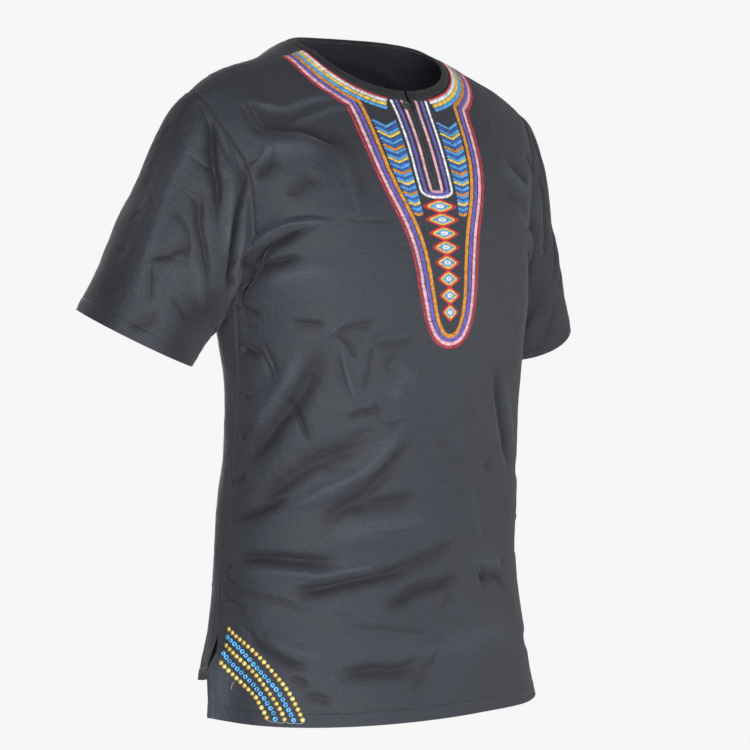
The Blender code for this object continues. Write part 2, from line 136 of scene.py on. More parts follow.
def unit(vectors):
    return vectors / np.maximum(np.linalg.norm(vectors, axis=-1, keepdims=True), 1e-9)


def lengthsAlong(points):
    # how far along a line each of its points is
    return np.concatenate([[0.0], np.cumsum(np.linalg.norm(np.diff(points, axis=0), axis=1))])


def placesAlong(points, stops):
    # the places at given distances along a line
    lengths = lengthsAlong(points)
    return np.stack([np.interp(stops, lengths, column) for column in points.T], axis=-1)


def directionsAlong(points):
    return unit(np.gradient(points, axis=0))


def shoulderHeight(x):
    # height of the shoulder seam at a distance from the centre plane, carried over the neck hole
    x, neck, slope = np.abs(x), form["neckHalfWidth"], form["shoulderSlope"]
    tipFall = form["tipFall"] * np.maximum(0.0, x - form["shoulderTip"]) ** 2
    return np.where(x < neck, slope * (neck**2 - x * x) / (2 * neck), -slope * (x - neck) - tipFall)


def turnOf(x, height, back=False):
    # the turn, as smoothTorso takes it, at a distance from the centre plane
    _, halfWidth, _, _, _, _, square = readRows(torsoRows, height)
    ratio = np.minimum(1.0, np.abs(x) / halfWidth)
    turn = np.arcsin(ratio ** (square / 2)) / (math.pi / 2)
    return 2 - turn if back else turn


def plainX(turn, height):
    # the distance from the centre plane at a turn
    _, halfWidth, _, _, _, _, square = readRows(torsoRows, height)
    return halfWidth * np.maximum(0.0, np.sin(np.abs(turn) * math.pi / 2)) ** (2 / square)


def smoothTorso(turn, height):
    # a point of the smooth torso: turn is 0 at the front's centre, 1 on the widest line, 2 at the
    # back's centre, and negative on the wearer's right
    _, _, front, back, midY, _, square = readRows(torsoRows, height)
    x = plainX(turn, height)
    depth = np.abs(np.cos(turn * math.pi / 2)) ** (2 / square)
    drop = np.clip((shoulderHeight(x) - height) / form["roundOver"], 0.0, 1.0)
    depth = depth * np.sqrt(np.maximum(0.0, 1 - (1 - drop) ** 2))
    y = midY + np.where(np.abs(turn) > 1, back * depth, -front * depth)
    slope = np.where(y > 0, 0.17 + 0.35 * smoothStep((0.155 - x) / 0.08), 0.25)
    z = height + slope * y * smoothStep((height + 0.25) / 0.20)
    left = turn > 0
    z = z - np.where(left, form["leftDrop"] * smoothStep((x - 0.04) / 0.20), 0.0)
    inset = form["leftInset"] * smoothStep((x - 0.10) / 0.12) * smoothStep((height + 0.34) / 0.14)
    x = x - np.where(left, inset, 0.0)
    return np.stack([np.copysign(x, turn), y, z], axis=-1)


def torsoNormal(turn, height):
    step = 0.004
    across = smoothTorso(turn + step, height) - smoothTorso(turn - step, height)
    up = smoothTorso(turn, height + step / 4) - smoothTorso(turn, height - step / 4)
    return unit(np.cross(across, up))


def neckPlace(back, angle, away):
    # turn and height on the line at a distance from the neck edge; angle 0 is the centre line
    x = (form["neckHalfWidth"] + away) * np.sin(angle)
    top = shoulderHeight(form["neckHalfWidth"] + away)
    pit = -(form["backNeckDrop"] if back else form["frontNeckDrop"]) - away * 0.9
    height = np.minimum(top - (top - pit) * np.maximum(np.cos(angle), 0.0) ** 1.15, shoulderHeight(x))
    return turnOf(x, height, back), height


def seamTurn(back, height):
    # the turn of the side seam, whose two edges part below the top of the vent
    _, _, front, rear, midY, seamY, square = readRows(torsoRows, height)
    top = form["ventTop"]
    opening = form["ventOpening"] * smoothStep((top - height) / (top - form["frontHem"]))
    offset = seamY - midY + (opening / 2 if back else -opening / 2)
    depth = np.abs(offset) / np.where(offset > 0, rear, front)
    quarter = np.arcsin(np.minimum(1.0, depth ** (square / 2))) / (math.pi / 2)
    return np.where(offset > 0, 1 + quarter, 1 - quarter)


def armholePlace(back, share):
    # turn and height on the armhole; share 0 is the underarm and 1 the shoulder tip
    tip = armholeRows[0, 0]
    height = (tip + form["underarm"]) / 2 - (tip - form["underarm"]) / 2 * np.cos(share * math.pi)
    row = readRows(armholeRows, height)
    turn = turnOf(row[2] if back else row[1], height, back)
    return turn + (seamTurn(back, height) - turn) * smoothStep(1 - share / 0.3), height


# A fold is a line on a piece's flat chart, in millimetres across and up, then its half width, its
# height (more than 0 for a ridge) and its lean, if any: more than 0 steepens the left side of its
# run. On a panel, across is less than 0 on the wearer's right and 0 on the centre line.
# a fold's height also paints the cloth's colour: painted shade in its trough and a painted highlight on its
# ridge
frontFolds = [
    # drags from the right underarm over the chest: ridge, the valley under it, and its echoes
    ([(-246, -262), (-222, -232), (-199, -211), (-166, -194), (-129, -189), (-98, -189)], 7, 5.2),
    ([(-240, -228), (-207, -207), (-182, -198), (-157, -187), (-131, -181), (-91, -183)], 3, -1.5, -0.3),
    ([(-100, -184), (-64, -185), (-36, -184)], 2, -0.8),
    ([(-252, -270), (-223, -240), (-201, -223), (-173, -209), (-146, -199), (-124, -201)], 5, -6.5, 0.4),
    ([(-240, -252), (-218, -243), (-192, -238), (-164, -232), (-142, -228)], 6.5, -4, 0.4),
    ([(-250, -258), (-237, -258), (-211, -258)], 4, -1.6),
    ([(-215, -262), (-180, -252), (-140, -246), (-100, -248)], 15, 2.2),
    # the hollow under the near arm, along the lower end of the armhole, its trough also painted dark in the
    # cloth's colour
    ([(-192, -206), (-207, -225), (-219, -240), (-231, -256), (-246, -277), (-266, -302)], 9, -6),
    # creases in front of the right armhole
    ([(-192, -126), (-186, -122), (-161, -113)], 2.6, -1.3, 0.4),
    ([(-190, -132), (-172, -120), (-150, -106), (-138, -96)], 4.5, 1.8),
    ([(-190, -145), (-180, -135), (-166, -126), (-148, -113), (-134, -98)], 5, -2.9, 0.3),
    ([(-155, -160), (-143, -150), (-120, -133), (-104, -120)], 9, -2.2, 0.3),
    ([(-152, -56), (-152, -70), (-147, -92)], 3.4, -2, 0.3),
    ([(-143, -56), (-143, -70), (-138, -86)], 3, -1.3, 0.3),
    # tension across the chest towards the embroidery
    ([(-150, -54), (-108, -58), (-82, -49), (-58, -43), (-40, -48)], 4.2, 1.9, -0.3),
    ([(-110, -74), (-94, -67), (-73, -59), (-58, -53), (-38, -53)], 3.8, 1.5, -0.2),
    ([(-150, -84), (-120, -78), (-95, -77), (-74, -88), (-62, -104)], 13, -4.2, -0.4),
    ([(-168, -104), (-135, -98), (-107, -94), (-84, -106)], 12, 2.6),
    ([(-69, -58), (-70, -107), (-72, -158), (-75, -195)], 2.2, 0.8, 0.6),
    ([(-60, -62), (-60, -107), (-62, -158)], 7, -0.9),
    # the star of creases below the chest
    ([(-92, -289), (-106, -299), (-123, -311), (-139, -324)], 3.2, 1.6, 0.4),
    ([(-175, -302), (-158, -302), (-129, -304)], 5, -2.2, 0.4),
    ([(-122, -312), (-102, -306), (-74, -300)], 4.5, -2.2, 0.5),
    ([(-124, -314), (-111, -321), (-99, -342)], 4, -2.2, -0.3),
    ([(-117, -322), (-114, -352), (-108, -379), (-100, -400)], 4.5, 1.7, -0.3),
    ([(-122, -326), (-120, -352), (-114, -381)], 2.4, -1, 0.3),
    ([(-114, -312), (-100, -316), (-86, -321)], 2.2, -0.9),
    ([(-84, -322), (-69, -312)], 2.2, -1.1, 0.3),
    ([(-84, -326), (-58, -325), (-33, -321)], 3.2, -1.9, 0.5),
    ([(-83, -324), (-86, -346), (-97, -378)], 4.5, -1.8, -0.3),
    ([(-52, -340), (-48, -365), (-70, -390)], 8, 1.6),
    ([(-116, -405), (-96, -397), (-76, -398)], 2.6, -2.9, 0.6),
    ([(-86, -387), (-74, -407)], 2.2, -1.7),
    ([(-80, -405), (-62, -408), (-48, -401)], 2.6, 1.1),
    ([(-70, -412), (-61, -412), (-48, -405)], 2.8, -1.5, 0.3),
    ([(-54, -366), (-45, -384)], 4, -1.2),
    ([(-74, -340), (-60, -360)], 2, -0.6),
    ([(-192, -383), (-176, -396), (-166, -411), (-154, -434)], 3.2, -2.9, -0.5),
    # long soft slants from the chest down to the right side seam, with the ridges between them
    ([(-126, -318), (-150, -352), (-170, -382), (-193, -406), (-222, -437), (-262, -460)], 14, -3.6),
    ([(-155, -330), (-185, -366), (-215, -398), (-245, -425)], 13, 2.4),
    ([(-80, -412), (-102, -436), (-125, -447), (-150, -455), (-190, -480), (-240, -512)], 13, -3.2, 0.2),
    ([(-44, -406), (-60, -428), (-79, -452), (-104, -470), (-142, -487), (-180, -508)], 8.5, 3.6),
    ([(-34, -424), (-50, -446), (-66, -466), (-90, -491), (-117, -508), (-140, -532)], 11, -3.4, 0.2),
    ([(-108, -508), (-82, -499), (-58, -496), (-22, -493)], 9, -2.6, 0.2),
    ([(-130, -545), (-95, -530), (-50, -522), (0, -520)], 14, 2.2),
    # creases at the right side seam
    ([(-220, -326), (-210, -342), (-200, -362)], 2.8, -2.2),
    ([(-211, -323), (-202, -338), (-193, -358)], 3, -2.7, 0.3),
    ([(-260, -276), (-240, -283), (-206, -295)], 4, -3.4, 0.4),
    ([(-260, -294), (-238, -301), (-214, -310)], 3.2, -2.3, 0.3),
    ([(-266, -320), (-238, -330), (-210, -338)], 5, -3.4, 0.3),
    ([(-268, -376), (-250, -381), (-232, -382)], 3.4, -2.8, 0.3),
    ([(-274, -416), (-258, -424), (-242, -431)], 3.4, -2.6),
    ([(-276, -478), (-258, -473), (-238, -465)], 3.8, -3.2, 0.3),
    ([(-270, -516), (-250, -514), (-218, -505), (-170, -487)], 5, -3.3, 0.4),
    # the big level folds under the belly
    ([(-262, -561), (-235, -558), (-199, -554), (-165, -556), (-100, -560)], 7.5, -4.2, 0.3),
    ([(-250, -572), (-200, -570), (-150, -572), (-110, -574)], 7, 1.8),
    ([(-174, -592), (-140, -588), (-99, -580), (-67, -575), (-34, -572)], 7, -4.5, 0.4),
    ([(-150, -578), (-99, -570), (-60, -566)], 7, 2.2),
    ([(-72, -611), (-46, -602), (-30, -594), (2, -589), (30, -588)], 7.5, -3.8, 0.3),
    ([(44, -588), (68, -587), (90, -593), (104, -607)], 5, -3.8, 0.3),
    ([(-70, -578), (-36, -566), (-4, -554), (24, -545)], 7.5, -2.6, 0.4),
    ([(40, -575), (72, -572), (98, -578)], 9, 2.2),
    ([(-276, -583), (-250, -589), (-215, -595), (-180, -600), (-150, -609), (-125, -617)], 2.4, -1.6, 0.3),
    ([(-120, -612), (-104, -616), (-86, -622)], 2.2, -0.9),
    ([(-118, -622), (-85, -628), (-47, -635), (0, -642)], 2.2, -1.4, 0.4),
    ([(-280, -568), (-262, -569), (-249, -571)], 3.6, -2),
    ([(-280, -577), (-262, -580), (-238, -588)], 3.4, -2, 0.3),
    ([(-272, -600), (-250, -604), (-222, -612)], 3.4, -2, 0.3),
    ([(-236, -629), (-217, -635), (-205, -645), (-185, -655), (-160, -666), (-134, -674)], 4, -3.2, 0.5),
    ([(-200, -634), (-180, -645), (-150, -656), (-120, -662)], 8, 1.6),
    ([(-166, -681), (-152, -685), (-138, -691)], 3.2, -1.9, 0.3),
    ([(-150, -699), (-133, -702), (-115, -709)], 4.5, -1.9, 0.3),
    ([(-118, -680), (-80, -676), (-48, -677), (-22, -664)], 9, -3.2, 0.3),
    ([(-46, -704), (-28, -688), (-4, -656)], 6, -1.6),
    ([(-60, -655), (0, -662), (60, -650), (120, -655)], 16, 1.8),
    ([(20, -600), (6, -607), (0, -622)], 5, -1.6),
    # pressed lines and soft lengths on the wearer's left half
    ([(-28, -409), (-12, -430), (6, -455), (24, -479)], 2.6, -1),
    ([(-20, -408), (-4, -430), (14, -455), (32, -476)], 2.6, -0.8),
    ([(33, -472), (44, -510), (54, -545), (60, -575)], 2.4, 1.1),
    ([(56, -555), (58, -580), (60, -612)], 3, -1.6),
    ([(52, -462), (72, -470)], 7, -1.5),
    ([(62, -345), (78, -385), (95, -425), (118, -482)], 10, -3.6),
    ([(84, -360), (104, -410), (120, -455), (128, -520)], 9, 2.6),
    ([(205, -250), (170, -214), (130, -196), (96, -192)], 9, 3.4),
    ([(214, -262), (176, -230), (140, -214)], 7, -3.2, -0.3),
    ([(60, -96), (91, -116), (118, -136), (146, -158)], 8, 2.6),
    ([(78, -92), (108, -112), (134, -130)], 7, -2.4, 0.3),
    ([(60, -130), (100, -152), (140, -170)], 12, -2),
    ([(190, -120), (160, -100), (136, -92)], 5, -2.2),
    ([(262, -300), (230, -318), (196, -330)], 6, -2.4, 0.3),
    ([(266, -372), (235, -384), (200, -386)], 5, -2, 0.3),
    ([(262, -430), (225, -452), (180, -470), (140, -470)], 9, -3, 0.3),
    ([(262, -500), (220, -520), (170, -530)], 8, 2.4),
    ([(270, -560), (236, -566), (190, -560), (150, -566)], 6, -3.6, 0.3),
    ([(270, -604), (230, -612), (180, -606)], 5, -2.4, 0.3),
    ([(240, -655), (190, -668), (140, -664)], 9, -2.4),
    # the corners of the front's hem roll outwards a little beside the vents
    ([(-264, -655), (-264, -690), (-264, -760)], 22, 7),
    ([(264, -660), (264, -695), (264, -760)], 22, 4.5),
]
backFolds = [
    ([(-240, -256), (-222, -238), (-190, -216), (-150, -202), (-105, -196)], 8, 4.6),
    ([(-236, -272), (-215, -256), (-180, -240), (-140, -230)], 6, -4.8, 0.4),
    ([(-200, -150), (-165, -132), (-120, -120)], 8, -2.4, 0.3),
    ([(254, -266), (220, -234), (186, -212), (148, -198), (100, -190)], 8, 4.4),
    ([(252, -282), (214, -252), (178, -234), (132, -226)], 6, -4.6, 0.4),
    ([(196, -160), (160, -138), (112, -128)], 9, -2.4, 0.3),
    ([(-150, -66), (-90, -58), (-30, -60), (40, -56), (120, -66)], 12, -2.2, 0.3),
    ([(-110, -96), (-40, -88), (50, -92), (110, -100)], 16, 1.8),
    ([(-92, -210), (-98, -280), (-112, -370), (-118, -480)], 15, 3.8),
    ([(-60, -250), (-66, -330), (-72, -420)], 10, -3, 0.3),
    ([(96, -220), (102, -300), (120, -400), (126, -520)], 14, 3.8),
    ([(58, -270), (66, -350), (76, -450)], 10, -3, -0.3),
    ([(0, -180), (4, -260), (-4, -340)], 18, 2.2),
    ([(-184, -338), (-162, -346), (-130, -350)], 5, -2.2, 0.3),
    ([(-190, -408), (-162, -416), (-110, -425), (-40, -420)], 7.5, -4, 0.4),
    ([(-186, -428), (-150, -436), (-100, -442)], 8, 2.2),
    ([(-184, -478), (-150, -484), (-112, -483)], 6, -2.8, 0.4),
    ([(258, -372), (222, -388), (176, -392)], 5, -2.8, 0.3),
    ([(256, -438), (190, -448), (110, -456), (30, -446)], 7.5, -4, 0.4),
    ([(248, -456), (176, -466), (100, -472)], 8, 2.6),
    ([(-20, -404), (10, -430), (44, -444)], 5, -2.6, 0.4),
    ([(256, -520), (205, -532), (150, -530)], 6, -2.8, 0.4),
    ([(258, -572), (180, -584), (110, -592), (50, -590)], 6, -4.4, 0.4),
    ([(240, -588), (170, -600), (100, -606)], 8, 2.2),
    ([(-188, -574), (-150, -582), (-110, -587), (-70, -588)], 6, -4.2, 0.4),
    ([(-184, -592), (-150, -597), (-100, -602)], 8, 2.2),
    ([(-60, -560), (-20, -546), (30, -548)], 6, -3, 0.3),
    ([(-40, -606), (0, -598), (46, -600)], 5, -2.6, 0.4),
    ([(-200, -640), (-140, -650), (-80, -648)], 7, -2.6, 0.3),
    ([(210, -644), (150, -650), (80, -640)], 7, -2.6, 0.3),
    ([(-60, -500), (-30, -530), (-10, -580)], 10, 1.8),
    ([(80, -490), (60, -540), (62, -620)], 9, -2.2),
    # the corners roll outwards beside the vents
    ([(-252, -640), (-252, -680), (-252, -760)], 18, 2.5),
    ([(-205, -636), (-206, -700), (-206, -840)], 30, 3.4),
    ([(252, -650), (252, -690), (252, -760)], 18, 4),
]
# on a sleeve, across runs round from the shoulder seam down the front, and up is less than 0
# below the armhole
rightSleeveFolds = [
    ([(22, -4), (38, -14), (58, -16), (76, -25)], 2.6, -1.6, 0.3),
    ([(40, -8), (54, -9), (70, -14)], 2.6, 1),
    ([(38, 4), (48, -14), (65, -40), (80, -56), (102, -84)], 6.5, -5.2, 0.4),
    ([(68, -18), (92, -46), (114, -73), (128, -94)], 6.5, 3.2),
    ([(44, -66), (67, -51), (82, -36)], 2.6, -1.4, 0.3),
    ([(70, 18), (88, -8), (108, -40), (127, -68), (146, -96), (160, -122)], 6.5, -7, 0.3),
    ([(108, -12), (130, -48), (150, -84), (164, -110)], 6, 2.6),
    ([(66, -70), (84, -103), (105, -119), (136, -147)], 8, -3.2, 0.3),
    ([(48, -128), (71, -124), (86, -133), (94, -164)], 4, -2, 0.3),
    ([(96, -134), (116, -158), (128, -190)], 9, 2),
    ([(48, -194), (73, -167), (92, -130)], 5.5, -2.4, -0.3),
    ([(58, -190), (62, -206), (68, -228)], 4, -1.8, 0.3),
    ([(48, -262), (67, -248), (84, -230)], 7, -2.2),
    ([(86, -206), (108, -213), (122, -222)], 4.5, -1.6, 0.3),
    ([(140, -70), (147, -84), (150, -96)], 2.2, 1.4),
    ([(136, -6), (150, -50), (172, -92), (200, -120), (226, -130)], 6, -4.6, 0.3),
    ([(176, 0), (188, -40), (196, -90), (204, -150)], 17, -5.2),
    ([(172, 30), (180, -10), (188, -52), (198, -110)], 13, -8.5),
    ([(154, -110), (142, -160), (126, -205), (117, -240), (112, -310)], 21, -2.7),
    ([(170, -150), (190, -170), (212, -180)], 6, -2.4, 0.3),
    # the outer third turns away, behind a soft edge that runs down the sleeve; its trough is also painted
    # darker in the cloth's colour
    ([(2, 60), (8, -20), (13, -100), (15, -170), (12, -250), (8, -330)], 21, -2.4),
    ([(30, 30), (42, -40), (44, -110), (49, -180), (44, -250)], 9, 1.7),
    ([(150, 12), (152, -20), (158, -50), (170, -76)], 8, -3.4),
    ([(395, -40), (380, -90), (362, -130)], 8, -3, 0.3),
    ([(350, -20), (318, -56), (284, -84), (250, -96)], 6, -5, 0.4),
    ([(372, -20), (336, -66), (296, -104), (262, -120)], 7, 3.4),
    ([(330, -14), (300, -44), (268, -70)], 5, -3, 0.3),
    ([(352, -134), (322, -160), (290, -204)], 9, -3, 0.3),
    ([(388, -160), (376, -200), (370, -240)], 9, -2),
    ([(280, -150), (262, -176), (240, -190)], 6, -2.4, 0.3),
]
leftSleeveFolds = [
    ([(28, -8), (52, -26), (74, -52)], 4, -2.2, 0.3),
    ([(62, -10), (84, -40), (104, -74), (112, -110)], 6, -4.4, 0.4),
    ([(78, -12), (102, -44), (122, -80)], 7, 3.2),
    ([(108, -10), (126, -42), (148, -76)], 5.5, -5, 0.4),
    ([(134, -22), (152, -60), (176, -94), (208, -112)], 6, -4.6, 0.4),
    ([(150, -24), (176, -74), (206, -92)], 6, 3),
    ([(60, -110), (84, -126), (110, -160)], 8, -3, 0.3),
    ([(40, -150), (64, -178), (96, -190)], 6, -2.2, 0.3),
    ([(100, -200), (112, -226), (114, -256)], 8, -2.2),
    ([(140, -150), (160, -190), (164, -230)], 8, -2.4, 0.3),
    ([(16, -40), (20, -110), (14, -190)], 18, 1.8),
    ([(396, -36), (380, -84), (366, -128)], 8, -2.8, 0.3),
    ([(348, -18), (316, -58), (282, -86), (248, -98)], 6, -4.8, 0.4),
    ([(368, -22), (332, -70), (292, -104)], 7, 3.2),
    ([(356, -140), (330, -170), (300, -206)], 9, -3, 0.3),
    ([(392, -170), (380, -210), (376, -246)], 9, -2),
    ([(276, -150), (258, -180), (236, -190)], 6, -2.4, 0.3),
]


def littleCreases(seed, count, left, right, low, high):
    # short faint creases inside a rectangle of the chart, slanting down towards its nearer side
    rng = np.random.default_rng(seed)
    made = []
    for _ in range(count):
        x, y = rng.uniform(left, right), rng.uniform(low, high)
        slant = math.radians(rng.normal(24, 22)) * (1 if x < (left + right) / 2 else -1)
        reach, bow = rng.uniform(9, 26), rng.normal(0, 2.5)
        flat, steep = math.cos(slant), math.sin(slant)
        places = [(x - reach * flat, y - reach * steep), (x + bow * steep, y - bow * flat),
                  (x + reach * flat, y + reach * steep)]
        made.append((places, rng.uniform(1.7, 4.2), -rng.uniform(0.25, 0.85), rng.uniform(-0.3, 0.4)))
    return made


# seed and count, then left, right, low and high in millimetres
frontFolds += littleCreases(5, 60, -250, 250, -700, -200)
backFolds += littleCreases(6, 60, -172, 250, -680, -120)
rightSleeveFolds += littleCreases(7, 26, 10, 400, -240, -20)
leftSleeveFolds += littleCreases(8, 26, 10, 400, -240, -20)


def smoothRoute(places, steps=6):
    # a smooth line through a few places, as an array of points
    places = np.array(places, float)
    padded = np.vstack([2 * places[0] - places[1], places, 2 * places[-1] - places[-2]])
    share = np.linspace(0, 1, steps, endpoint=False)[:, None]
    route = []
    for p0, p1, p2, p3 in zip(padded, padded[1:], padded[2:], padded[3:]):
        route.append(smoothBetween(p1, p2, (p2 - p0) / 2, (p3 - p1) / 2, share))
    return np.vstack(route + [places[-1:]])


def prepareFolds(folds):
    # each fold's smooth line, how far along it each place is, its half width, height and lean
    ready = []
    for places, halfWidth, depth, *lean in folds:
        route = smoothRoute(places)
        ready.append((route, lengthsAlong(route), halfWidth, depth, lean[0] if lean else 0.0))
    return ready


frontFolds, backFolds = prepareFolds(frontFolds), prepareFolds(backFolds)
rightSleeveFolds, leftSleeveFolds = prepareFolds(rightSleeveFolds), prepareFolds(leftSleeveFolds)


def foldRise(folds, across, height):
    # how far the cloth stands out at each place of a chart, in metres, from all its folds
    right, up = across.ravel() * 1000.0, height.ravel() * 1000.0
    total = np.zeros(right.shape)
    for route, walked, halfWidth, depth, lean in folds:
        reach = 2.6 * halfWidth  # further out the fold is too faint to see
        low, high = route.min(0) - reach, route.max(0) + reach
        near = np.flatnonzero((right > low[0]) & (right < high[0]) & (up > low[1]) & (up < high[1]))
        if not len(near):
            continue
        spotX, spotY = right[near], up[near]
        nearest = np.full(len(near), 1e9)
        sideways, share = np.zeros(len(near)), np.zeros(len(near))
        for i, (start, end) in enumerate(zip(route, route[1:])):
            runX, runY = end - start
            offX, offY = spotX - start[0], spotY - start[1]
            step = walked[i + 1] - walked[i]
            along = np.clip((offX * runX + offY * runY) / step**2, 0.0, 1.0)
            awayX, awayY = offX - along * runX, offY - along * runY
            distance = np.hypot(awayX, awayY)
            closer = distance < nearest
            nearest = np.where(closer, distance, nearest)
            sideways = np.where(closer, np.sign(runX * awayY - runY * awayX) * distance, sideways)
            share = np.where(closer, (walked[i] + along * step) / walked[-1], share)
        width = 0.9 * halfWidth * np.where(sideways > 0, 1 - lean, 1 + lean)
        taper = smoothStep(share / 0.3) * smoothStep((1 - share) / 0.3)
        # narrow creases have a crisp bottom, and wide ones and ridges are rounder
        sharpness = np.interp(halfWidth, (3.0, 8.0), (1.15, 1.85)) if depth < 0 else 1.8
        section = np.exp(-(np.abs(sideways / width) ** sharpness))
        total[near] += cloth["foldDepth"] * depth / 1000.0 * taper * section
    return total.reshape(across.shape)


def softNoise(x, y, size, seed):
    # smooth noise on a chart, from about -0.7 to 0.7, in blobs of the size
    angles = np.random.default_rng(seed).uniform(0, 2 * math.pi, (64, 64))
    gridX, gridY = x / size, y / size
    cellX, cellY = np.floor(gridX).astype(int), np.floor(gridY).astype(int)
    partX, partY = gridX - cellX, gridY - cellY
    easeX, easeY = smoothStep(partX), smoothStep(partY)

    def corner(right, up):
        angle = angles[(cellX + right) % 64, (cellY + up) % 64]
        return np.cos(angle) * (partX - right) + np.sin(angle) * (partY - up)

    low = corner(0, 0) * (1 - easeX) + corner(1, 0) * easeX
    high = corner(0, 1) * (1 - easeX) + corner(1, 1) * easeX
    return low * (1 - easeY) + high * easeY


# the cloth; lengths in metres
cloth = {
    "wall": 0.0008,
    "rumple": 0.00062,  # height of the small unevenness all over
    "slack": 0.0022,  # and of the broad one
    "pucker": 0.00045,  # along the seams
    "pullIn": 0.0009,  # how far a seam sinks
    "hemWidth": 0.0150,
    "ventHem": 0.0075,
    "hemLift": 0.00035,
    "colour": (0.0272, 0.0280, 0.0378),
    "colourWorn": (0.0345, 0.0355, 0.0470),
    "foldDepth": 1.75,  # scales every fold
    "crumple": 0.0042,  # depth of the smallest dents, which are bump only
}
# the soft noise of each part draws from its own seed
seeds = {
    "front": 10,
    "back": 40,
    "sideSeam": 60,
    "shoulderSeam": 66,
    "armhole": 70,
    "hem": 80,
    "vent": 84,
    "sleeve": 120,
    "sleeveHead": 131,
    "sleeveSeam": 134,
    "cuff": 138,
    "binding": 151,
}


def rumple(across, height, seed):
    # long soft troughs on a slant, then shorter ones, then fine level wrinkles
    small = cloth["rumple"]
    total = cloth["slack"] * softNoise(0.35 * (across + height), 0.9 * (height - 0.6 * across), 0.055, seed)
    total += small * softNoise(0.5 * across + 0.3 * height, height - 0.35 * across, 0.021, seed + 1)
    total += 0.42 * small * softNoise(0.6 * across, height + 0.25 * across, 0.0105, seed + 2)
    return total + 0.12 * small * softNoise(across, height, 0.0052, seed + 3)


def stitchedPart(across, height):
    # 1 where the front is stiff with embroidery, 0 where it hangs free
    tongue = smoothStep((0.056 - np.abs(across)) / 0.012) * smoothStep((height + 0.345) / 0.02)
    return np.maximum(tongue, smoothStep((height + 0.075 - 0.3 * np.abs(across)) / 0.02))


def seamRelief(distance, along, seed, ridge=0.00025):
    # a seam's sunk line, the soft ridge of the allowance behind it, and puckers across it
    sink = -cloth["pullIn"] * np.exp(-((distance / 0.0020) ** 2))
    allowance = ridge * np.exp(-(((distance - 0.0055) / 0.0030) ** 2))
    pucker = cloth["pucker"] * softNoise(along, 0.25 * distance, 0.0085, seed) * 1.6
    return sink + allowance + pucker * np.exp(-((distance / 0.014) ** 2))


def hemRelief(distance, along, width, seed):
    # a turned hem: a slightly raised band, the line sewn along its top, and its drag lines
    band = cloth["hemLift"] * smoothStep((width - distance) / 0.0012)
    line = -0.0004 * np.exp(-(((distance - width) / 0.0010) ** 2))
    drag = 0.00042 * softNoise(along + 0.9 * distance, 0.3 * distance, 0.0070, seed)
    return band + line + drag * np.exp(-(((distance - 0.6 * width) / 0.011) ** 2))


def hemHeight(back, across):
    # the hem's height on the chart, rising a little towards the side seams
    frontRise = np.where(across < 0, form["hemRise"][-1], form["hemRise"][1])
    rise = form["backHemRise"] if back else frontRise
    return form["backHem" if back else "frontHem"] + rise * np.abs(across / form["halfChart"]) ** 3


def slitGap(turn, height):
    # how far each edge of the neck slit stands from the centre plane
    opened = (height - form["slitEnd"]) / (-form["frontNeckDrop"] - form["slitEnd"])
    gap = form["slitWidth"] / 2 * smoothStep(opened * 4)
    gap = gap + (form["slitWidthTop"] - form["slitWidth"]) / 2 * smoothStep((opened - 0.75) / 0.25)
    return gap * np.maximum(0.0, 1 - np.abs(turn) / 0.78) ** 4


def panelPoint(back, turn, height, armDistance=None, folds=None):
    # a point of a panel's cloth with all its relief
    turn, height = np.broadcast_arrays(np.asarray(turn, float), np.asarray(height, float))
    across = np.copysign(2 - np.abs(turn) if back else np.abs(turn), turn) * form["halfChart"]
    side = np.sign(turn)
    besideSeam = np.abs(seamTurn(back, height) - np.abs(turn)) * form["halfChart"]
    belowSeam = shoulderHeight(plainX(turn, height)) - height
    vent = smoothStep((form["ventTop"] - height) / 0.03)
    fade = np.maximum(smoothStep(besideSeam / 0.014), vent) * smoothStep(belowSeam / 0.02)
    rise = foldRise(backFolds if back else frontFolds, across, height) if folds is None else folds
    stiff = 0.0 if back else stitchedPart(across, height)
    rise = (rise + rumple(across, height, seeds["back" if back else "front"]) * (1 - 0.7 * stiff)) * fade
    seam = seamRelief(besideSeam, height + 0.9 * side, seeds["sideSeam"]) * (1 - vent)
    rise += seam * smoothStep((0.02 + form["underarm"] - height) / 0.02)
    shoulder = seamRelief(np.abs(belowSeam), across, seeds["shoulderSeam"], 0.0002)
    rise += shoulder * smoothStep((np.abs(turn) - 0.2) / 0.1)
    if armDistance is not None:
        armhole = seamRelief(armDistance, height, seeds["armhole"])
        rise += armhole * smoothStep((height - form["underarm"] + 0.004) / 0.01)
    rise += hemRelief(height - hemHeight(back, across), across, cloth["hemWidth"], seeds["hem"])
    rise += vent * hemRelief(besideSeam, height, cloth["ventHem"], seeds["vent"])
    point = smoothTorso(turn, height) + torsoNormal(turn, height) * rise[..., None]
    if not back:
        point[..., 0] += side * slitGap(turn, height)
    return point


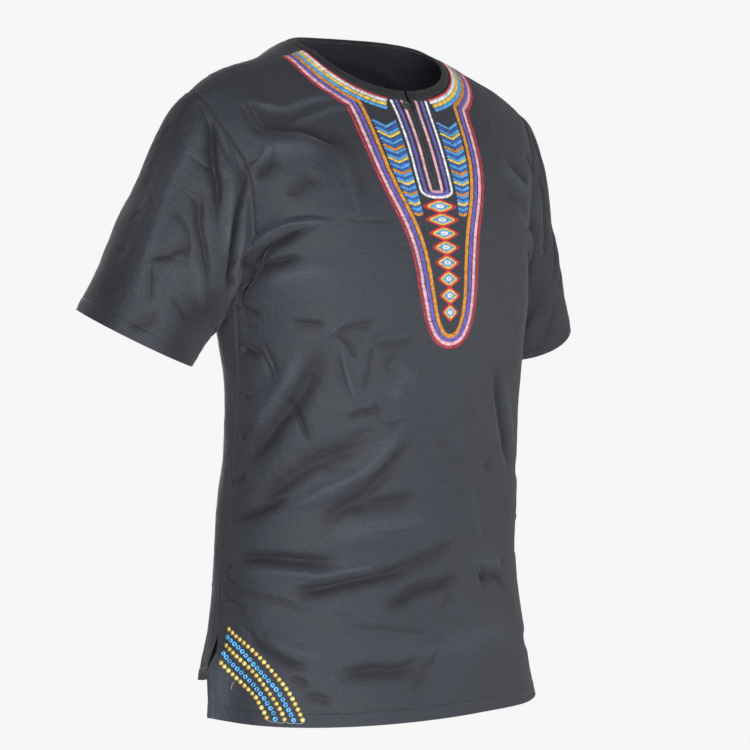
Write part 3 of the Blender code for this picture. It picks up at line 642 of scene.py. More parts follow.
def panelPlaces(back, side, u, row):
    # turn and height over half a panel: u from the centre or the neck to the seam or the armhole,
    # row up from the hem in the solids' own rows
    hem, centre = (form["backHem"], 2.0) if back else (form["frontHem"], 0.0)
    ventTop, underarm = form["ventTop"], form["underarm"]
    ventRows, sideRows, armRows = form["rows"]
    armStart, neckStart = ventRows + sideRows, sum(form["rows"]) - form["neckRows"]
    low = np.minimum(row, armStart)
    height = np.where(low <= ventRows, hem + (ventTop - hem) * low / ventRows,
                      ventTop + (underarm - ventTop) * (low - ventRows) / sideRows)
    # the outer edge: the vent, the side seam and the armhole
    part = np.clip((row - armStart) / armRows, 0.0, 1.0)
    armTurn, armHeight = armholePlace(back, part)
    above = row > armStart
    opened = smoothStep((ventTop - height) / 0.05) * smoothStep((ventTop + 0.02 - height) / 0.12)
    flare = form["ventSpread"] / form["halfChart"] * opened if back else 0.0
    outer = np.where(above, armTurn, seamTurn(back, height) + flare), np.where(above, armHeight, height)
    # the inner edge: the centre line and the neck
    pit = neckPlace(back, 0.0, form["neckEdge"])[1]
    angle = np.clip((row - neckStart) / form["neckRows"], 0.0, 1.0) * math.pi / 2
    neckTurn, neckHeight = neckPlace(back, angle, form["neckEdge"])
    climb = (row - armStart) / (neckStart - armStart)
    upCentre = np.where(above, underarm + (pit - underarm) * climb, height)
    inner = np.where(row > neckStart, neckTurn, centre), np.where(row > neckStart, neckHeight, upCentre)
    turn = inner[0] + (outer[0] - inner[0]) * u
    height = inner[1] + (outer[1] - inner[1]) * u
    # the hem rises to its line, and the top rows follow the shoulder
    hemLine = hemHeight(back, side * u * form["halfChart"]) - hem
    height = height + hemLine * np.maximum(0.0, 1 - row / ventRows)
    chord = shoulderHeight(plainX(*inner)) * (1 - u) + shoulderHeight(plainX(*outer)) * u
    height = height + (shoulderHeight(plainX(turn, height)) - chord) * smoothStep((part - 0.5) / 0.5)
    armDistance = np.abs(outer[0] - inner[0]) * (1 - u) * form["halfChart"]
    return turn, height, np.where(above, armDistance, 0.3)


def gatheredSteps(count, crowded, gap):
    # numbers from 0 to 1, evenly spaced but closer together about the crowded places
    even = np.linspace(0, 1, 4001)
    weight = 1 + sum(2.2 * np.exp(-(((even - place) / gap) ** 2)) for place in crowded)
    walked = np.concatenate([[0.0], np.cumsum((weight[1:] + weight[:-1]) / 2)])
    return np.interp(np.linspace(0, walked[-1], count + 1), walked, even)


def addSheet(bm, points, flat, folds=None):
    # a grid of the size of the arrays, its corners moved to the points; the chart and the height of the
    # folds in millimetres are kept in layers, and the fold height paints shade and highlight into the
    # cloth's colour
    layer = bm.verts.layers.float_vector.get("flat") or bm.verts.layers.float_vector.new("flat")
    paintedFoldShade = bm.verts.layers.float.get("paintedFoldShade") or bm.verts.layers.float.new("paintedFoldShade")
    rows, columns = points.shape[0] - 1, points.shape[1] - 1
    made = bmesh.ops.create_grid(bm, x_segments=columns, y_segments=rows, size=0.5)
    for corner in made["verts"]:
        i, j = round((corner.co.y + 0.5) * rows), round((corner.co.x + 0.5) * columns)
        corner.co = points[i, j]
        corner[layer] = flat[i, j]
        corner[paintedFoldShade] = 0.0 if folds is None else folds[i, j] * 1000


def turnOutwards(bm, inside):
    # welds the sheets and turns their faces away from the point that inside gives for a place
    bmesh.ops.remove_doubles(bm, verts=bm.verts, dist=1e-5)
    bmesh.ops.recalc_face_normals(bm, faces=bm.faces)
    facing = sum(face.normal.dot(face.calc_center_median() - inside(face.calc_center_median()))
                 for face in list(bm.faces)[::7])
    if facing < 0:
        bmesh.ops.reverse_faces(bm, faces=bm.faces)


def meshFrom(bm, name):
    mesh = bpy.data.meshes.new(name)
    bm.to_mesh(mesh)
    bm.free()
    mesh.shade_smooth()
    return mesh


def addPiece(name, data, materials, node=None):
    # puts a piece in the scene; it moves with the shirt and may stand for one of the solids
    for material in materials:
        data.materials.append(material)
    piece = bpy.data.objects.new(name, data)
    bpy.context.scene.collection.objects.link(piece)
    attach(piece, "root")
    if node:
        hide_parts(node)
    return piece


def addClothShell(bm, name, node, inside):
    # one sheet with a wall: the sheet is both faces, and the wall's edge runs all round
    turnOutwards(bm, inside)
    piece = addPiece(name, meshFrom(bm, name), [sateen], node)
    wall = piece.modifiers.new("wall", "SOLIDIFY")
    wall.thickness = cloth["wall"]
    wall.offset = 0.0
    wall.use_rim_only = True
    return piece


def makePanel(name, node, back, columns, rowCount):
    # columns are those of the right and the left half
    bm = bmesh.new()
    rows = gatheredSteps(rowCount, (0.0, 0.018, 0.995), 0.008) * sum(form["rows"])
    for side, count in zip((-1, 1), columns):
        u, row = np.meshgrid(gatheredSteps(count, (0.0, 1.0), 0.025), rows)
        turn, height, armDistance = panelPlaces(back, side, u, row)
        across = side * (2 - np.abs(turn) if back else np.abs(turn)) * form["halfChart"]
        folds = foldRise(backFolds if back else frontFolds, across, height)
        points = panelPoint(back, side * np.maximum(turn, 1e-9), height, armDistance, folds)
        addSheet(bm, points, np.stack([across, height, 0 * height], axis=-1), folds)
    return addClothShell(bm, name, node, lambda centre: Vector((0, 0, centre.z)))


def armholePoint(side, around):
    # the sleeve's sewn edge, on the panels' edges; around runs from the shoulder tip down the front
    back = around > 0.5
    share = np.where(back, 2 * around - 1, 1 - 2 * around)
    points = np.zeros(around.shape + (3,))
    for isBack in (False, True):
        turn, height = armholePlace(isBack, share)
        places = panelPoint(isBack, side * turn, height, np.zeros(around.shape))
        points = np.where((back == isBack)[..., None], places, points)
    return points


def ringPoint(side, ring, around):
    # a point of a sleeve ring; around starts at the ring's top or its outermost place
    centre, facing, halfOut, halfDeep = ring
    steep = facing[0] < 0.7
    facing = unit(np.array(facing))
    out = np.array([1.0, 0, 0]) if steep else np.array([0, 0, 1.0])
    out = unit(out - facing * (out @ facing))
    forward = np.cross(facing, out)
    angle = around * 2 * math.pi
    point = np.array(centre) + halfOut * np.cos(angle)[..., None] * out
    point = point + halfDeep * np.sin(angle)[..., None] * forward
    point[..., 0] *= side
    return point


def smoothSleeve(side, around, along):
    # a point of the plain sleeve; along is 0 at the armhole and 1 at the cuff
    around = around % 1.0
    start = armholePoint(side, around)
    middle, end = (ringPoint(side, ring, around) for ring in sleeveRings[side])
    # the cloth leaves the shoulder outwards and the underarm downwards
    top = (0.5 + 0.5 * np.cos(around * 2 * math.pi))[..., None]
    outwards = unit(np.array([side * 0.85, 0.0, -0.35]))
    downwards = unit(np.array([side * 0.42, 0.10, -0.9]))
    leave = outwards * top + downwards * (1 - top)
    leave = leave * np.linalg.norm(middle - start, axis=-1, keepdims=True)
    onward = (end - start) / 2
    upper = (along < 0.5)[..., None]
    share = np.where(upper[..., 0], along * 2, along * 2 - 1)[..., None]
    first, last = np.where(upper, start, middle), np.where(upper, middle, end)
    go, arrive = np.where(upper, leave, onward), np.where(upper, onward, (end - middle) * 1.1)
    return smoothBetween(first, last, go, arrive, share)


def sleeveRise(side, across, height):
    # a sleeve's folds, which run on over the line on the shoulder where the chart's edges meet
    folds = leftSleeveFolds if side > 0 else rightSleeveFolds
    return sum(foldRise(folds, across + turn * form["sleeveRound"], height) for turn in (-1, 0, 1))


def sleevePoint(side, around, along, folds=None):
    # a point of a sleeve's cloth with all its relief
    across, height = around * form["sleeveRound"], -along * form["sleeveLength"]
    distance = -height
    if folds is None:
        folds = sleeveRise(side, across, height)
    rise = 0.8 * folds
    # the chart's two edges are one line on the shoulder, so the noise is eased to nothing there
    uneven = rumple(across, height, seeds["sleeve"] + side)
    rise += uneven * smoothStep(np.minimum(around, 1 - around) / 0.06)
    rise *= smoothStep(along / 0.05)
    rise += cloth["pullIn"] * (1 - np.exp(-((distance / 0.0022) ** 2))) * smoothStep(1 - 2 * along)
    rise += 0.0004 * np.exp(-(((distance - 0.0055) / 0.0028) ** 2))
    fromSeam = np.abs(around - 0.5) * form["sleeveRound"]
    pucker = cloth["pucker"] * softNoise(fromSeam, 0.2 * distance, 0.0085, seeds["sleeveHead"]) * 1.8
    rise += pucker * np.exp(-((distance / 0.016) ** 2)) * smoothStep(along / 0.01)
    rise += seamRelief(fromSeam, height, seeds["sleeveSeam"]) * smoothStep(along / 0.03)
    rise += hemRelief((1 - along) * form["sleeveLength"], fromSeam, cloth["hemWidth"], seeds["cuff"])
    step = 0.01
    wide = smoothSleeve(side, around + step, along) - smoothSleeve(side, around - step, along)
    down = (smoothSleeve(side, around, np.minimum(1.0, along + step))
            - smoothSleeve(side, around, np.maximum(0.0, along - step)))
    normal = unit(np.cross(down, wide)) * -side
    return smoothSleeve(side, around, along) + normal * rise[..., None]


def makeSleeve(name, node, side, columns, rowCount):
    around, along = np.meshgrid(gatheredSteps(columns, (0.5,), 0.012),
                                gatheredSteps(rowCount, (0.0, 0.944, 1.0), 0.012))
    height = -along * form["sleeveLength"]
    folds = sleeveRise(side, around * form["sleeveRound"], height)
    # the weave's own places lie on a tube, so that nothing shows where the chart's edges meet
    tube, angle = form["sleeveRound"] / (2 * math.pi), around * 2 * math.pi
    weave = np.stack([1.0 + tube * np.cos(angle), height, tube * np.sin(angle)], axis=-1)
    bm = bmesh.new()
    addSheet(bm, sleevePoint(side, around, along, folds), weave, folds)

    def inside(centre):
        drop = min(1.0, max(0.0, (-0.10 - centre.z) / 0.21))
        return Vector((side * (0.20 + 0.085 * drop), 0.045 * drop, centre.z))

    return addClothShell(bm, name, node, inside)


# Shader nodes. The helpers below return the socket that holds the node's result.
def addNode(tree, kind, wires=None, **settings):
    # a node with its settings, and its inputs given as values or as other nodes' sockets
    node = tree.nodes.new(kind)
    for key, value in settings.items():
        setattr(node, key, value)
    for key, value in (wires or {}).items():
        if isinstance(value, bpy.types.NodeSocket):
            tree.links.new(value, node.inputs[key])
        else:
            node.inputs[key].default_value = value
    return node


def addMath(tree, operation, *values):
    return addNode(tree, "ShaderNodeMath", dict(enumerate(values)), operation=operation).outputs[0]


def addStretch(tree, place, factors):
    return addNode(tree, "ShaderNodeVectorMath", {0: place, 1: factors}, operation="MULTIPLY").outputs[0]


def addNoise(tree, place, scale, detail=2.0, roughness=0.5, distortion=0.0):
    wires = {"Vector": place, "Scale": scale, "Detail": detail, "Roughness": roughness,
             "Distortion": distortion}
    return addNode(tree, "ShaderNodeTexNoise", wires).outputs["Fac"]


def addRange(tree, value, before, after=(0.0, 1.0)):
    # a value moved from one range to another
    wires = {"Value": value, 1: before[0], 2: before[1], 3: after[0], 4: after[1]}
    return addNode(tree, "ShaderNodeMapRange", wires).outputs[0]


def addMix(tree, share, first, second, blend="MIX"):
    # two colours mixed, each a tuple of three or a socket; the node's colour inputs are 6 and 7
    wires = {0: share}
    for index, colour in ((6, first), (7, second)):
        wires[index] = (*colour, 1) if isinstance(colour, tuple) else colour
    return addNode(tree, "ShaderNodeMix", wires, data_type="RGBA", blend_type=blend).outputs[2]


def addBump(tree, height, distance, strength=0.5, normal=None):
    wires = {"Strength": strength, "Distance": distance, "Height": height}
    if normal is not None:
        wires["Normal"] = normal
    return addNode(tree, "ShaderNodeBump", wires).outputs[0]


def attributeOf(tree, name, output="Fac"):
    # a value kept in the mesh
    return addNode(tree, "ShaderNodeAttribute", attribute_name=name).outputs[output]


def objectPlace(tree):
    return addNode(tree, "ShaderNodeTexCoord").outputs["Object"]


def startMaterial(name, roughness, specular, sheen=0.0, sheenRoughness=0.5, coat=0.0, metallic=0.0):
    material = bpy.data.materials.new(name)
    material.use_nodes = True
    inputs = material.node_tree.nodes["Principled BSDF"].inputs
    inputs["Roughness"].default_value = roughness
    inputs["Specular IOR Level"].default_value = specular
    inputs["Sheen Weight"].default_value = sheen
    inputs["Sheen Roughness"].default_value = sheenRoughness
    inputs["Coat Weight"].default_value = coat
    inputs["Metallic"].default_value = metallic
    return material, material.node_tree


def connectSurface(tree, colour=None, normal=None, roughness=None):
    inputs = tree.nodes["Principled BSDF"].inputs
    for label, socket in (("Base Color", colour), ("Normal", normal), ("Roughness", roughness)):
        if socket is not None:
            tree.links.new(socket, inputs[label])


def makeWeaveGroup():
    # a satin weave: long floats side by side, slubs, blotches of wear and small dents; takes a
    # place in metres
    tree = bpy.data.node_groups.new("satinWeave", "ShaderNodeTree")
    tree.interface.new_socket("Place", in_out="INPUT", socket_type="NodeSocketVector")
    tree.interface.new_socket("Pitch", in_out="INPUT", socket_type="NodeSocketFloat")
    for label in ("Height", "Slub", "Wear", "Crumple"):
        tree.interface.new_socket(label, in_out="OUTPUT", socket_type="NodeSocketFloat")
    given, result = tree.nodes.new("NodeGroupInput"), tree.nodes.new("NodeGroupOutput")
    place = given.outputs["Place"]
    count = addMath(tree, "DIVIDE", 1.0, given.outputs["Pitch"])
    threads = addNode(tree, "ShaderNodeVectorMath", {0: place, 3: count}, operation="SCALE").outputs[0]
    floats = addNode(tree, "ShaderNodeTexVoronoi",
                     {"Vector": addStretch(tree, threads, (1.0, 0.28, 1.0)), "Scale": 1.0}, feature="F1")
    dip = addMath(tree, "SUBTRACT", 1.0, floats.outputs["Distance"])
    slub = addNoise(tree, addStretch(tree, place, (520.0, 330.0, 300.0)), 1.0, detail=4.0, roughness=0.65)
    # the dents have sharp edges where the noise crosses its middle value
    dents = addNoise(tree, place, 34.0, detail=3.0, roughness=0.45, distortion=0.9)
    made = {
        "Height": addMath(tree, "MULTIPLY_ADD", slub, 0.9, dip),
        "Slub": slub,
        "Wear": addNoise(tree, place, 22.0, detail=4.0, roughness=0.62),
        "Crumple": addMath(tree, "ABSOLUTE", addMath(tree, "SUBTRACT", dents, 0.5)),
    }
    for label, socket in made.items():
        tree.links.new(socket, result.inputs[label])
    return tree


weaveGroup = makeWeaveGroup()


def makeClothMaterial(name, plain, worn, roughness, pitch, bump):
    material, tree = startMaterial(name, roughness, specular=0.4, sheen=0.15)
    weave = addNode(tree, "ShaderNodeGroup", node_tree=weaveGroup)
    tree.links.new(attributeOf(tree, "flat", "Vector"), weave.inputs["Place"])
    weave.inputs["Pitch"].default_value = pitch
    woven = weave.outputs
    tint = addMix(tree, addRange(tree, woven["Wear"], (0.30, 0.72)), plain, worn)
    slub = addRange(tree, woven["Slub"], (0.3, 0.7), (0.66, 1.36))
    tint = addMix(tree, 1.0, tint, slub, "MULTIPLY")
    # painted shade and highlight: the colour is darker in the troughs of the folds and lighter on their
    # ridges, set by the fold height kept in the mesh
    paintedShade = addRange(tree, attributeOf(tree, "paintedFoldShade"), (-5.0, 4.5), (0.42, 1.44))
    tint = addMix(tree, 1.0, tint, paintedShade, "MULTIPLY")
    rough = addRange(tree, woven["Wear"], (0.3, 0.7), (roughness - 0.05, roughness + 0.05))
    crumple = addBump(tree, woven["Crumple"], cloth["crumple"])
    relief = addBump(tree, woven["Height"], bump, strength=0.55, normal=crumple)
    connectSurface(tree, tint, relief, rough)
    return material


sateen = makeClothMaterial("blackSateen", cloth["colour"], cloth["colourWorn"], roughness=0.66,
                           pitch=0.00042, bump=0.00017)
print("materials made")

frontCloth = makePanel("frontCloth", "front_panel", back=False, columns=(128, 92), rowCount=430)
backCloth = makePanel("backCloth", "back_panel", back=True, columns=(84, 84), rowCount=300)
sleeveRightCloth = makeSleeve("sleeveRightCloth", "sleeve_right", side=-1, columns=230, rowCount=160)
sleeveLeftCloth = makeSleeve("sleeveLeftCloth", "sleeve_left", side=1, columns=190, rowCount=130)
print("panels and sleeves made")

# the folded strip round the neck
binding = {
    "width": 0.0092,
    "halfThickness": 0.00098,
    "colour": (0.0150, 0.0150, 0.0165),
    "colourWorn": (0.022, 0.022, 0.024),
    "stitchLines": (0.0016, 0.0078),  # distances from the neck edge
    "stitchPitch": 0.0024,
    "stitchLength": 0.0017,
    "stitchWidth": 0.0002,
    "stitchHeight": 0.00018,
    "stitchLift": 0.86,  # as a share of half the binding's thickness
}


def bindingPoint(journey, away, lift):
    # journey runs 0..4 from the slit's right edge, over the right shoulder, back, left, to its left edge
    back = (journey >= 1.0) & (journey <= 3.0)
    side = np.where(journey < 2.0, -1.0, 1.0)
    quarter = np.where(back, np.abs(journey - 2), np.minimum(journey, 4 - journey))
    point = np.zeros(journey.shape + (3,))
    normal = np.zeros(journey.shape + (3,))
    for isBack in (False, True):
        turn, height = neckPlace(isBack, quarter * math.pi / 2, away)
        here = (back == isBack)[..., None]
        point = np.where(here, smoothTorso(side * turn, height), point)
        normal = np.where(here, torsoNormal(side * turn, height), normal)
    parted = np.where((quarter < 0.3) & ~back, (1 - quarter / 0.3) ** 2, 0.0)
    point[..., 0] += side * form["slitWidthTop"] / 2 * parted
    wave = 0.0005 * softNoise(journey * 0.14, away * 0.3, 0.045, seeds["binding"])
    return point + unit(normal) * (lift + wave)[..., None]


def makeBinding():
    # its section runs from the outer edge over the top, round the neck edge and back
    width = binding["width"]
    section = [(width, 0.1), (width - 0.0003, 0.75), (width - 0.0011, 0.98), (0.0079, 0.74), (0.0074, 1.0),
               (0.0052, 1.06), (0.0030, 1.06), (0.0020, 0.98), (0.0016, 0.74), (0.0012, 0.96), (0.0005, 0.8),
               (0.0001, 0.35), (0.0, -0.2), (0.0004, -0.8), (0.0014, -1.0), (0.0050, -1.02), (0.0085, -0.9),
               (width, -0.5), (width, 0.1)]
    sectionAway, sectionLift = np.array(section).T
    away, journey = np.meshgrid(sectionAway, np.linspace(0.0, 4.0, 400))
    lift = np.broadcast_to(sectionLift * binding["halfThickness"], away.shape)
    bm = bmesh.new()
    addSheet(bm, bindingPoint(journey, away, lift), np.stack([journey * 0.15, away, 0 * away], axis=-1))
    bmesh.ops.remove_doubles(bm, verts=bm.verts, dist=1e-5)
    ends = [edge for edge in bm.edges if edge.is_boundary]
    bmesh.ops.holes_fill(bm, edges=ends, sides=0)
    bmesh.ops.triangulate(bm, faces=[face for face in bm.faces if len(face.verts) > 4])
    material = makeClothMaterial("blackBinding", binding["colour"], binding["colourWorn"], roughness=0.62,
                                 pitch=0.0006, bump=0.0001)
    turnOutwards(bm, lambda centre: Vector((0, 0, centre.z - 0.05)))
    return addPiece("neckBinding", meshFrom(bm, "neckBinding"), [material], "neckband")


def turned(bm, profile, steps, merge):
    # a shape turned about +Z from its half section
    line = [bm.verts.new((x, 0, z)) for x, z in profile]
    edges = [bm.edges.new(pair) for pair in zip(line, line[1:])]
    bmesh.ops.spin(bm, geom=line + edges, axis=(0, 0, 1), cent=(0, 0, 0), angle=2 * math.pi, steps=steps,
                   use_merge=True)
    bmesh.ops.remove_doubles(bm, verts=bm.verts, dist=merge)
    bmesh.ops.recalc_face_normals(bm, faces=bm.faces)


def addTube(name, material, radius, resolution, routes, node=None, closed=False):
    # a curve with a round section along each of the routes
    curve = bpy.data.curves.new(name, "CURVE")
    curve.dimensions = "3D"
    curve.bevel_depth = radius
    curve.bevel_resolution = resolution
    for route in routes:
        spline = curve.splines.new("POLY")
        spline.points.add(len(route) - 1)
        spline.points.foreach_set("co", np.column_stack([route, np.ones(len(route))]).ravel())
        spline.use_cyclic_u = closed
    return addPiece(name, curve, [material], node)


def scatter(name, template, matrices, materials):
    # one mesh of many copies of a small template, each put in its place by a 4 x 4 matrix; blocks
    # of 64 are joined, which is quicker than joining them one by one
    batch = 64
    block = bmesh.new()
    for _ in range(batch):
        block.from_mesh(template)
    block = meshFrom(block, template.name + "Block")
    bm = bmesh.new()
    for _ in range(len(matrices) // batch):
        bm.from_mesh(block)
    for _ in range(len(matrices) % batch):
        bm.from_mesh(template)
    mesh = meshFrom(bm, name)
    corners = len(template.vertices)
    shape = np.empty(corners * 3)
    template.vertices.foreach_get("co", shape)
    shape = np.column_stack([shape.reshape(-1, 3), np.ones(corners)])
    placed = np.einsum("nij,vj->nvi", np.asarray(matrices), shape)[..., :3]
    mesh.vertices.foreach_set("co", placed.ravel())
    tones = np.random.default_rng(len(matrices)).uniform(0, 1, len(matrices))
    mesh.attributes.new("tone", "FLOAT", "POINT").data.foreach_set("value", np.repeat(tones, corners))
    mesh.update()
    return addPiece(name, mesh, materials)


def makeSphere(name, across, down, turn=0.0):
    # a sphere of radius 1, its poles turned towards X by the angle
    bm = bmesh.new()
    bmesh.ops.create_uvsphere(bm, u_segments=across, v_segments=down, radius=1.0,
                              matrix=Matrix.Rotation(turn, 4, "Y"))
    bmesh.ops.recalc_face_normals(bm, faces=bm.faces)
    return meshFrom(bm, name)


stitchShape = makeSphere("stitchShape", across=6, down=4, turn=math.pi / 2)


def frames(centres, first, second, third):
    # 4 x 4 matrices from places and three already scaled axes
    matrices = np.zeros((len(centres), 4, 4))
    matrices[:, :3, 0], matrices[:, :3, 1], matrices[:, :3, 2] = first, second, third
    matrices[:, :3, 3] = centres
    matrices[:, 3, 3] = 1.0
    return matrices


def walk(points, normals, pitch):
    # evenly spaced places along a line in space, with the direction of travel and the normal there
    lengths, step = lengthsAlong(points), 0.0004
    count = max(1, int(round(lengths[-1] / pitch)))
    stops = (np.arange(count) + 0.5) * lengths[-1] / count
    normal = unit(np.stack([np.interp(stops, lengths, column) for column in normals.T], axis=-1))
    ahead = unit(placesAlong(points, stops + step) - placesAlong(points, stops - step))
    ahead = unit(ahead - normal * np.sum(ahead * normal, axis=-1, keepdims=True))
    return placesAlong(points, stops), ahead, normal


def onFront(flat, lift=0.0):
    # places and outward directions on the front's face, from places on its chart in millimetres
    across, height = np.asarray(flat, float).T / 1000.0
    step = 0.0012

    def at(right, up):
        return panelPoint(False, (across + right) / form["halfChart"], height + up)

    here = at(0, 0)
    normal = unit(np.cross(at(step, 0) - here, at(0, step) - here))
    return here + normal * (cloth["wall"] / 2 + lift), normal


def densePath(path, spacing=0.6):
    path = np.asarray(path, float)
    whole = lengthsAlong(path)[-1]
    return placesAlong(path, np.linspace(0, whole, max(3, int(whole / spacing))))


def stitchLine(path, width, pitch, seed, slant, height, lift=0.0, shift=0.0):
    # matrices of stitches laid across a line on the front's chart
    rng = np.random.default_rng(seed)
    points, normals = onFront(densePath(path), lift)
    centres, ahead, normal = walk(points, normals, pitch)
    sideways = np.cross(normal, ahead)
    turn = slant + rng.normal(0, 0.05, len(centres))[:, None]
    long = sideways * np.cos(turn) + ahead * np.sin(turn)
    wide = ahead * np.cos(turn) - sideways * np.sin(turn)
    length = width / 2 * rng.uniform(0.94, 1.07, len(centres))[:, None]
    centres = centres + sideways * (shift + rng.normal(0, 0.00008, len(centres))[:, None])
    return frames(centres, long * length, wide * pitch * 0.56, normal * height)


def runningStitches(points, normals, pitch, length, width, height):
    # matrices of stitches laid end to end along a line in space
    centres, ahead, normal = walk(points, normals, pitch)
    return frames(centres, ahead * length / 2, np.cross(normal, ahead) * width, normal * height)


# each line has its distance, width, colour, kind and pitch; all lengths in millimetres
embroidery = {
    # distance from the binding's edge
    "neckLines": [
        (1.0, 1.9, "red", "satin", 1.40),
        (3.9, 4.1, "white", "satin", 1.55),
        (8.1, 4.3, "yellow", "satin", 1.55),
        (12.4, 4.3, "skyBlue", "satin", 1.55),
    ],
    # distance in from the outer edge of the whole; these turn down round the tongue
    "borderLines": [
        (-0.5, 4.4, "red", "whip", 2.50),
        (3.3, 4.2, "pink", "satin", 1.55),
        (7.5, 4.2, "violet", "braid", 1.95),
        (11.7, 4.2, "gold", "braid", 1.95),
    ],
    # distance from the slit
    "slitLines": [
        (2.6, 3.6, "pink", "satin", 1.50),
        (6.2, 3.4, "violet", "braid", 1.80),
        (9.5, 3.2, "white", "satin", 1.50),
    ],
    "bandWidth": 28.6,
    "neckGap": 11.0,  # from the centre line to the ends of the neck lines
    "tongue": [(46.0, -60.0), (45.6, -80.0), (44.2, -105.0), (40.5, -138.0), (35.4, -172.0), (30.4, -208.0),
               (27.0, -245.0), (25.0, -280.0), (22.4, -303.0), (16.0, -320.0), (7.0, -328.0), (0.0, -329.5)],
    # chevrons down each side of the slit, between an inner edge and an outer one that comes in
    "chevronColours": ["skyBlue", "deepBlue", "skyBlue", "yellow",
                       "deepBlue", "skyBlue", "deepBlue", "gold"],
    "chevronHeights": (62.5, 175.0, 3.6),  # from, to and step, downwards
    "chevronInner": 12.6,
    "chevronOuter": [(60, 31.0), (105, 29.0), (138, 25.6), (172, 20.4), (208, 15.4)],
    # a spine of diamonds below the slit
    "diamondReaches": [10.6, 11.4, 10.4, 9.6, 8.8, 8.2, 7.8, 6.4],
    "diamondStart": 22.0,  # from the slit's end to the middle of the first one
    "diamondHeight": 9.0,
    "diamondPitch": 18.2,
    "diamondLayers": [(1.0, "red"), (0.72, "yellow"), (0.46, "skyBlue"), (0.20, "white")],
}
threadColours = {
    "red": (0.680, 0.024, 0.040),
    "white": (0.900, 0.850, 0.880),
    "yellow": (0.900, 0.640, 0.110),
    "gold": (0.740, 0.300, 0.030),
    "skyBlue": (0.110, 0.400, 0.800),
    "deepBlue": (0.040, 0.130, 0.420),
    "violet": (0.150, 0.110, 0.460),
    "pink": (0.840, 0.460, 0.520),
}
# a row's width as a share of its line's, its slant in radians and its height in metres
stitchKinds = {
    "satin": (1.34, 0.42, 0.00062),
    "braid": (0.84, 0.66, 0.00066),
    "whip": (1.0, 0.35, 0.00042),
}
lines = {name: [] for name in threadColours}


def layLine(path, width, colour, kind, pitch):
    # adds a line of stitches to its colour's; lengths in millimetres
    width, pitch = width / 1000, pitch / 1000
    share, slant, height = stitchKinds[kind]
    seed = len(lines[colour]) + 7
    if kind == "braid":
        # two leaning rows that meet in the middle
        rows = [stitchLine(path, width * share, pitch, seed + row, lean * slant, height,
                           shift=lean * width * 0.25) for row, lean in enumerate((1, -1))]
        lines[colour].append(np.concatenate(rows))
    elif kind == "whip":
        # thinner stitches a little above the rest
        row = stitchLine(path, width * share, pitch, seed, slant, height, lift=0.0001)
        lines[colour].append(row @ np.diag([1.0, 0.62, 1.0, 1.0]))
    else:
        lines[colour].append(stitchLine(path, width * share, pitch, seed, slant, height))


def layBothSides(path, *line):
    # on the wearer's left and mirrored on the right
    layLine(path, *line)
    layLine(np.asarray(path) * (-1, 1), *line)


def neckPath(away):
    # a line along the neck on the chart, from the left shoulder seam to the centre; all in millimetres
    turn, height = neckPlace(False, np.linspace(math.pi / 2 * 0.985, 0.0, 90), away / 1000)
    return np.stack([turn * form["halfChart"] * 1000, height * 1000], axis=-1)


def tonguePath(inset):
    # the tongue's left outline moved inwards
    route = smoothRoute(embroidery["tongue"], 14)
    run = directionsAlong(route)
    run[-1] = (-1, 0)
    inwards = np.stack([run[:, 1], -run[:, 0]], axis=-1)
    route = route + inwards * inset
    return route[route[:, 0] > -0.01]


def layEmbroidery():
    edge = form["neckEdge"] * 1000
    for distance, *line in embroidery["neckLines"]:
        path = neckPath(edge + distance)
        layBothSides(path[path[:, 0] > embroidery["neckGap"] + 0.3 * distance], *line)
    for inset, *line in embroidery["borderLines"]:
        neck = neckPath(edge + embroidery["bandWidth"] - inset)
        tongue = tonguePath(inset)
        side = np.interp(neck[:, 1], tongue[::-1, 1], tongue[::-1, 0])
        neck = neck[neck[:, 0] > side + 0.3]
        tongue = tongue[tongue[:, 1] < neck[-1, 1] - 0.3]
        layBothSides(np.vstack([neck, tongue]), *line)
    start = -form["frontNeckDrop"] * 1000 - edge * 0.9 - 0.4
    end = form["slitEnd"] * 1000
    for distance, *line in embroidery["slitLines"]:
        bend = [(distance * math.cos(a), end - distance * math.sin(a)) for a in np.linspace(0, math.pi, 15)]
        layLine([(distance, start)] + bend + [(-distance, start)], *line)
    inner, colours = embroidery["chevronInner"], embroidery["chevronColours"]
    depths, edges = zip(*embroidery["chevronOuter"])
    for step, depth in enumerate(np.arange(*embroidery["chevronHeights"])):
        wide = float(np.interp(depth, depths, edges)) - inner
        if wide < 4.5:
            break
        path = [(inner, -depth), (inner + wide / 2, -depth - 0.34 * wide), (inner + wide, -depth)]
        layBothSides(path, 3.0, colours[step % len(colours)], "satin", 1.05)
    for step, reach in enumerate(embroidery["diamondReaches"]):
        height = end - embroidery["diamondStart"] - embroidery["diamondPitch"] * step
        for size, colour in embroidery["diamondLayers"]:
            half, tall = reach * size, embroidery["diamondHeight"] * size
            top, foot = (0, height + tall), (0, height - tall)
            layLine([top, (half, height), foot, (-half, height), top], 2.0, colour, "satin", 0.95)


def makeThreadMaterial(name, colour):
    material, tree = startMaterial(name, roughness=0.42, specular=0.4, sheen=0.25, sheenRoughness=0.4)
    fibre = addNoise(tree, objectPlace(tree), 3800.0)
    level = addRange(tree, attributeOf(tree, "tone"), (0.0, 1.0), (0.62, 1.22))
    fleck = addRange(tree, fibre, (0.3, 0.7), (0.84, 1.14))
    tint = addMix(tree, 1.0, colour, addMath(tree, "MULTIPLY", level, fleck), "MULTIPLY")
    connectSurface(tree, colour=tint, normal=addBump(tree, fibre, 0.00005))
    return material


layEmbroidery()
for colour, groups in lines.items():
    matrices = np.concatenate(groups)
    name = "embroidery" + colour[0].upper() + colour[1:]
    material = makeThreadMaterial(colour + "Thread", threadColours[colour])
    scatter(name, stitchShape, matrices, [material])
    print(name, len(matrices), "stitches")

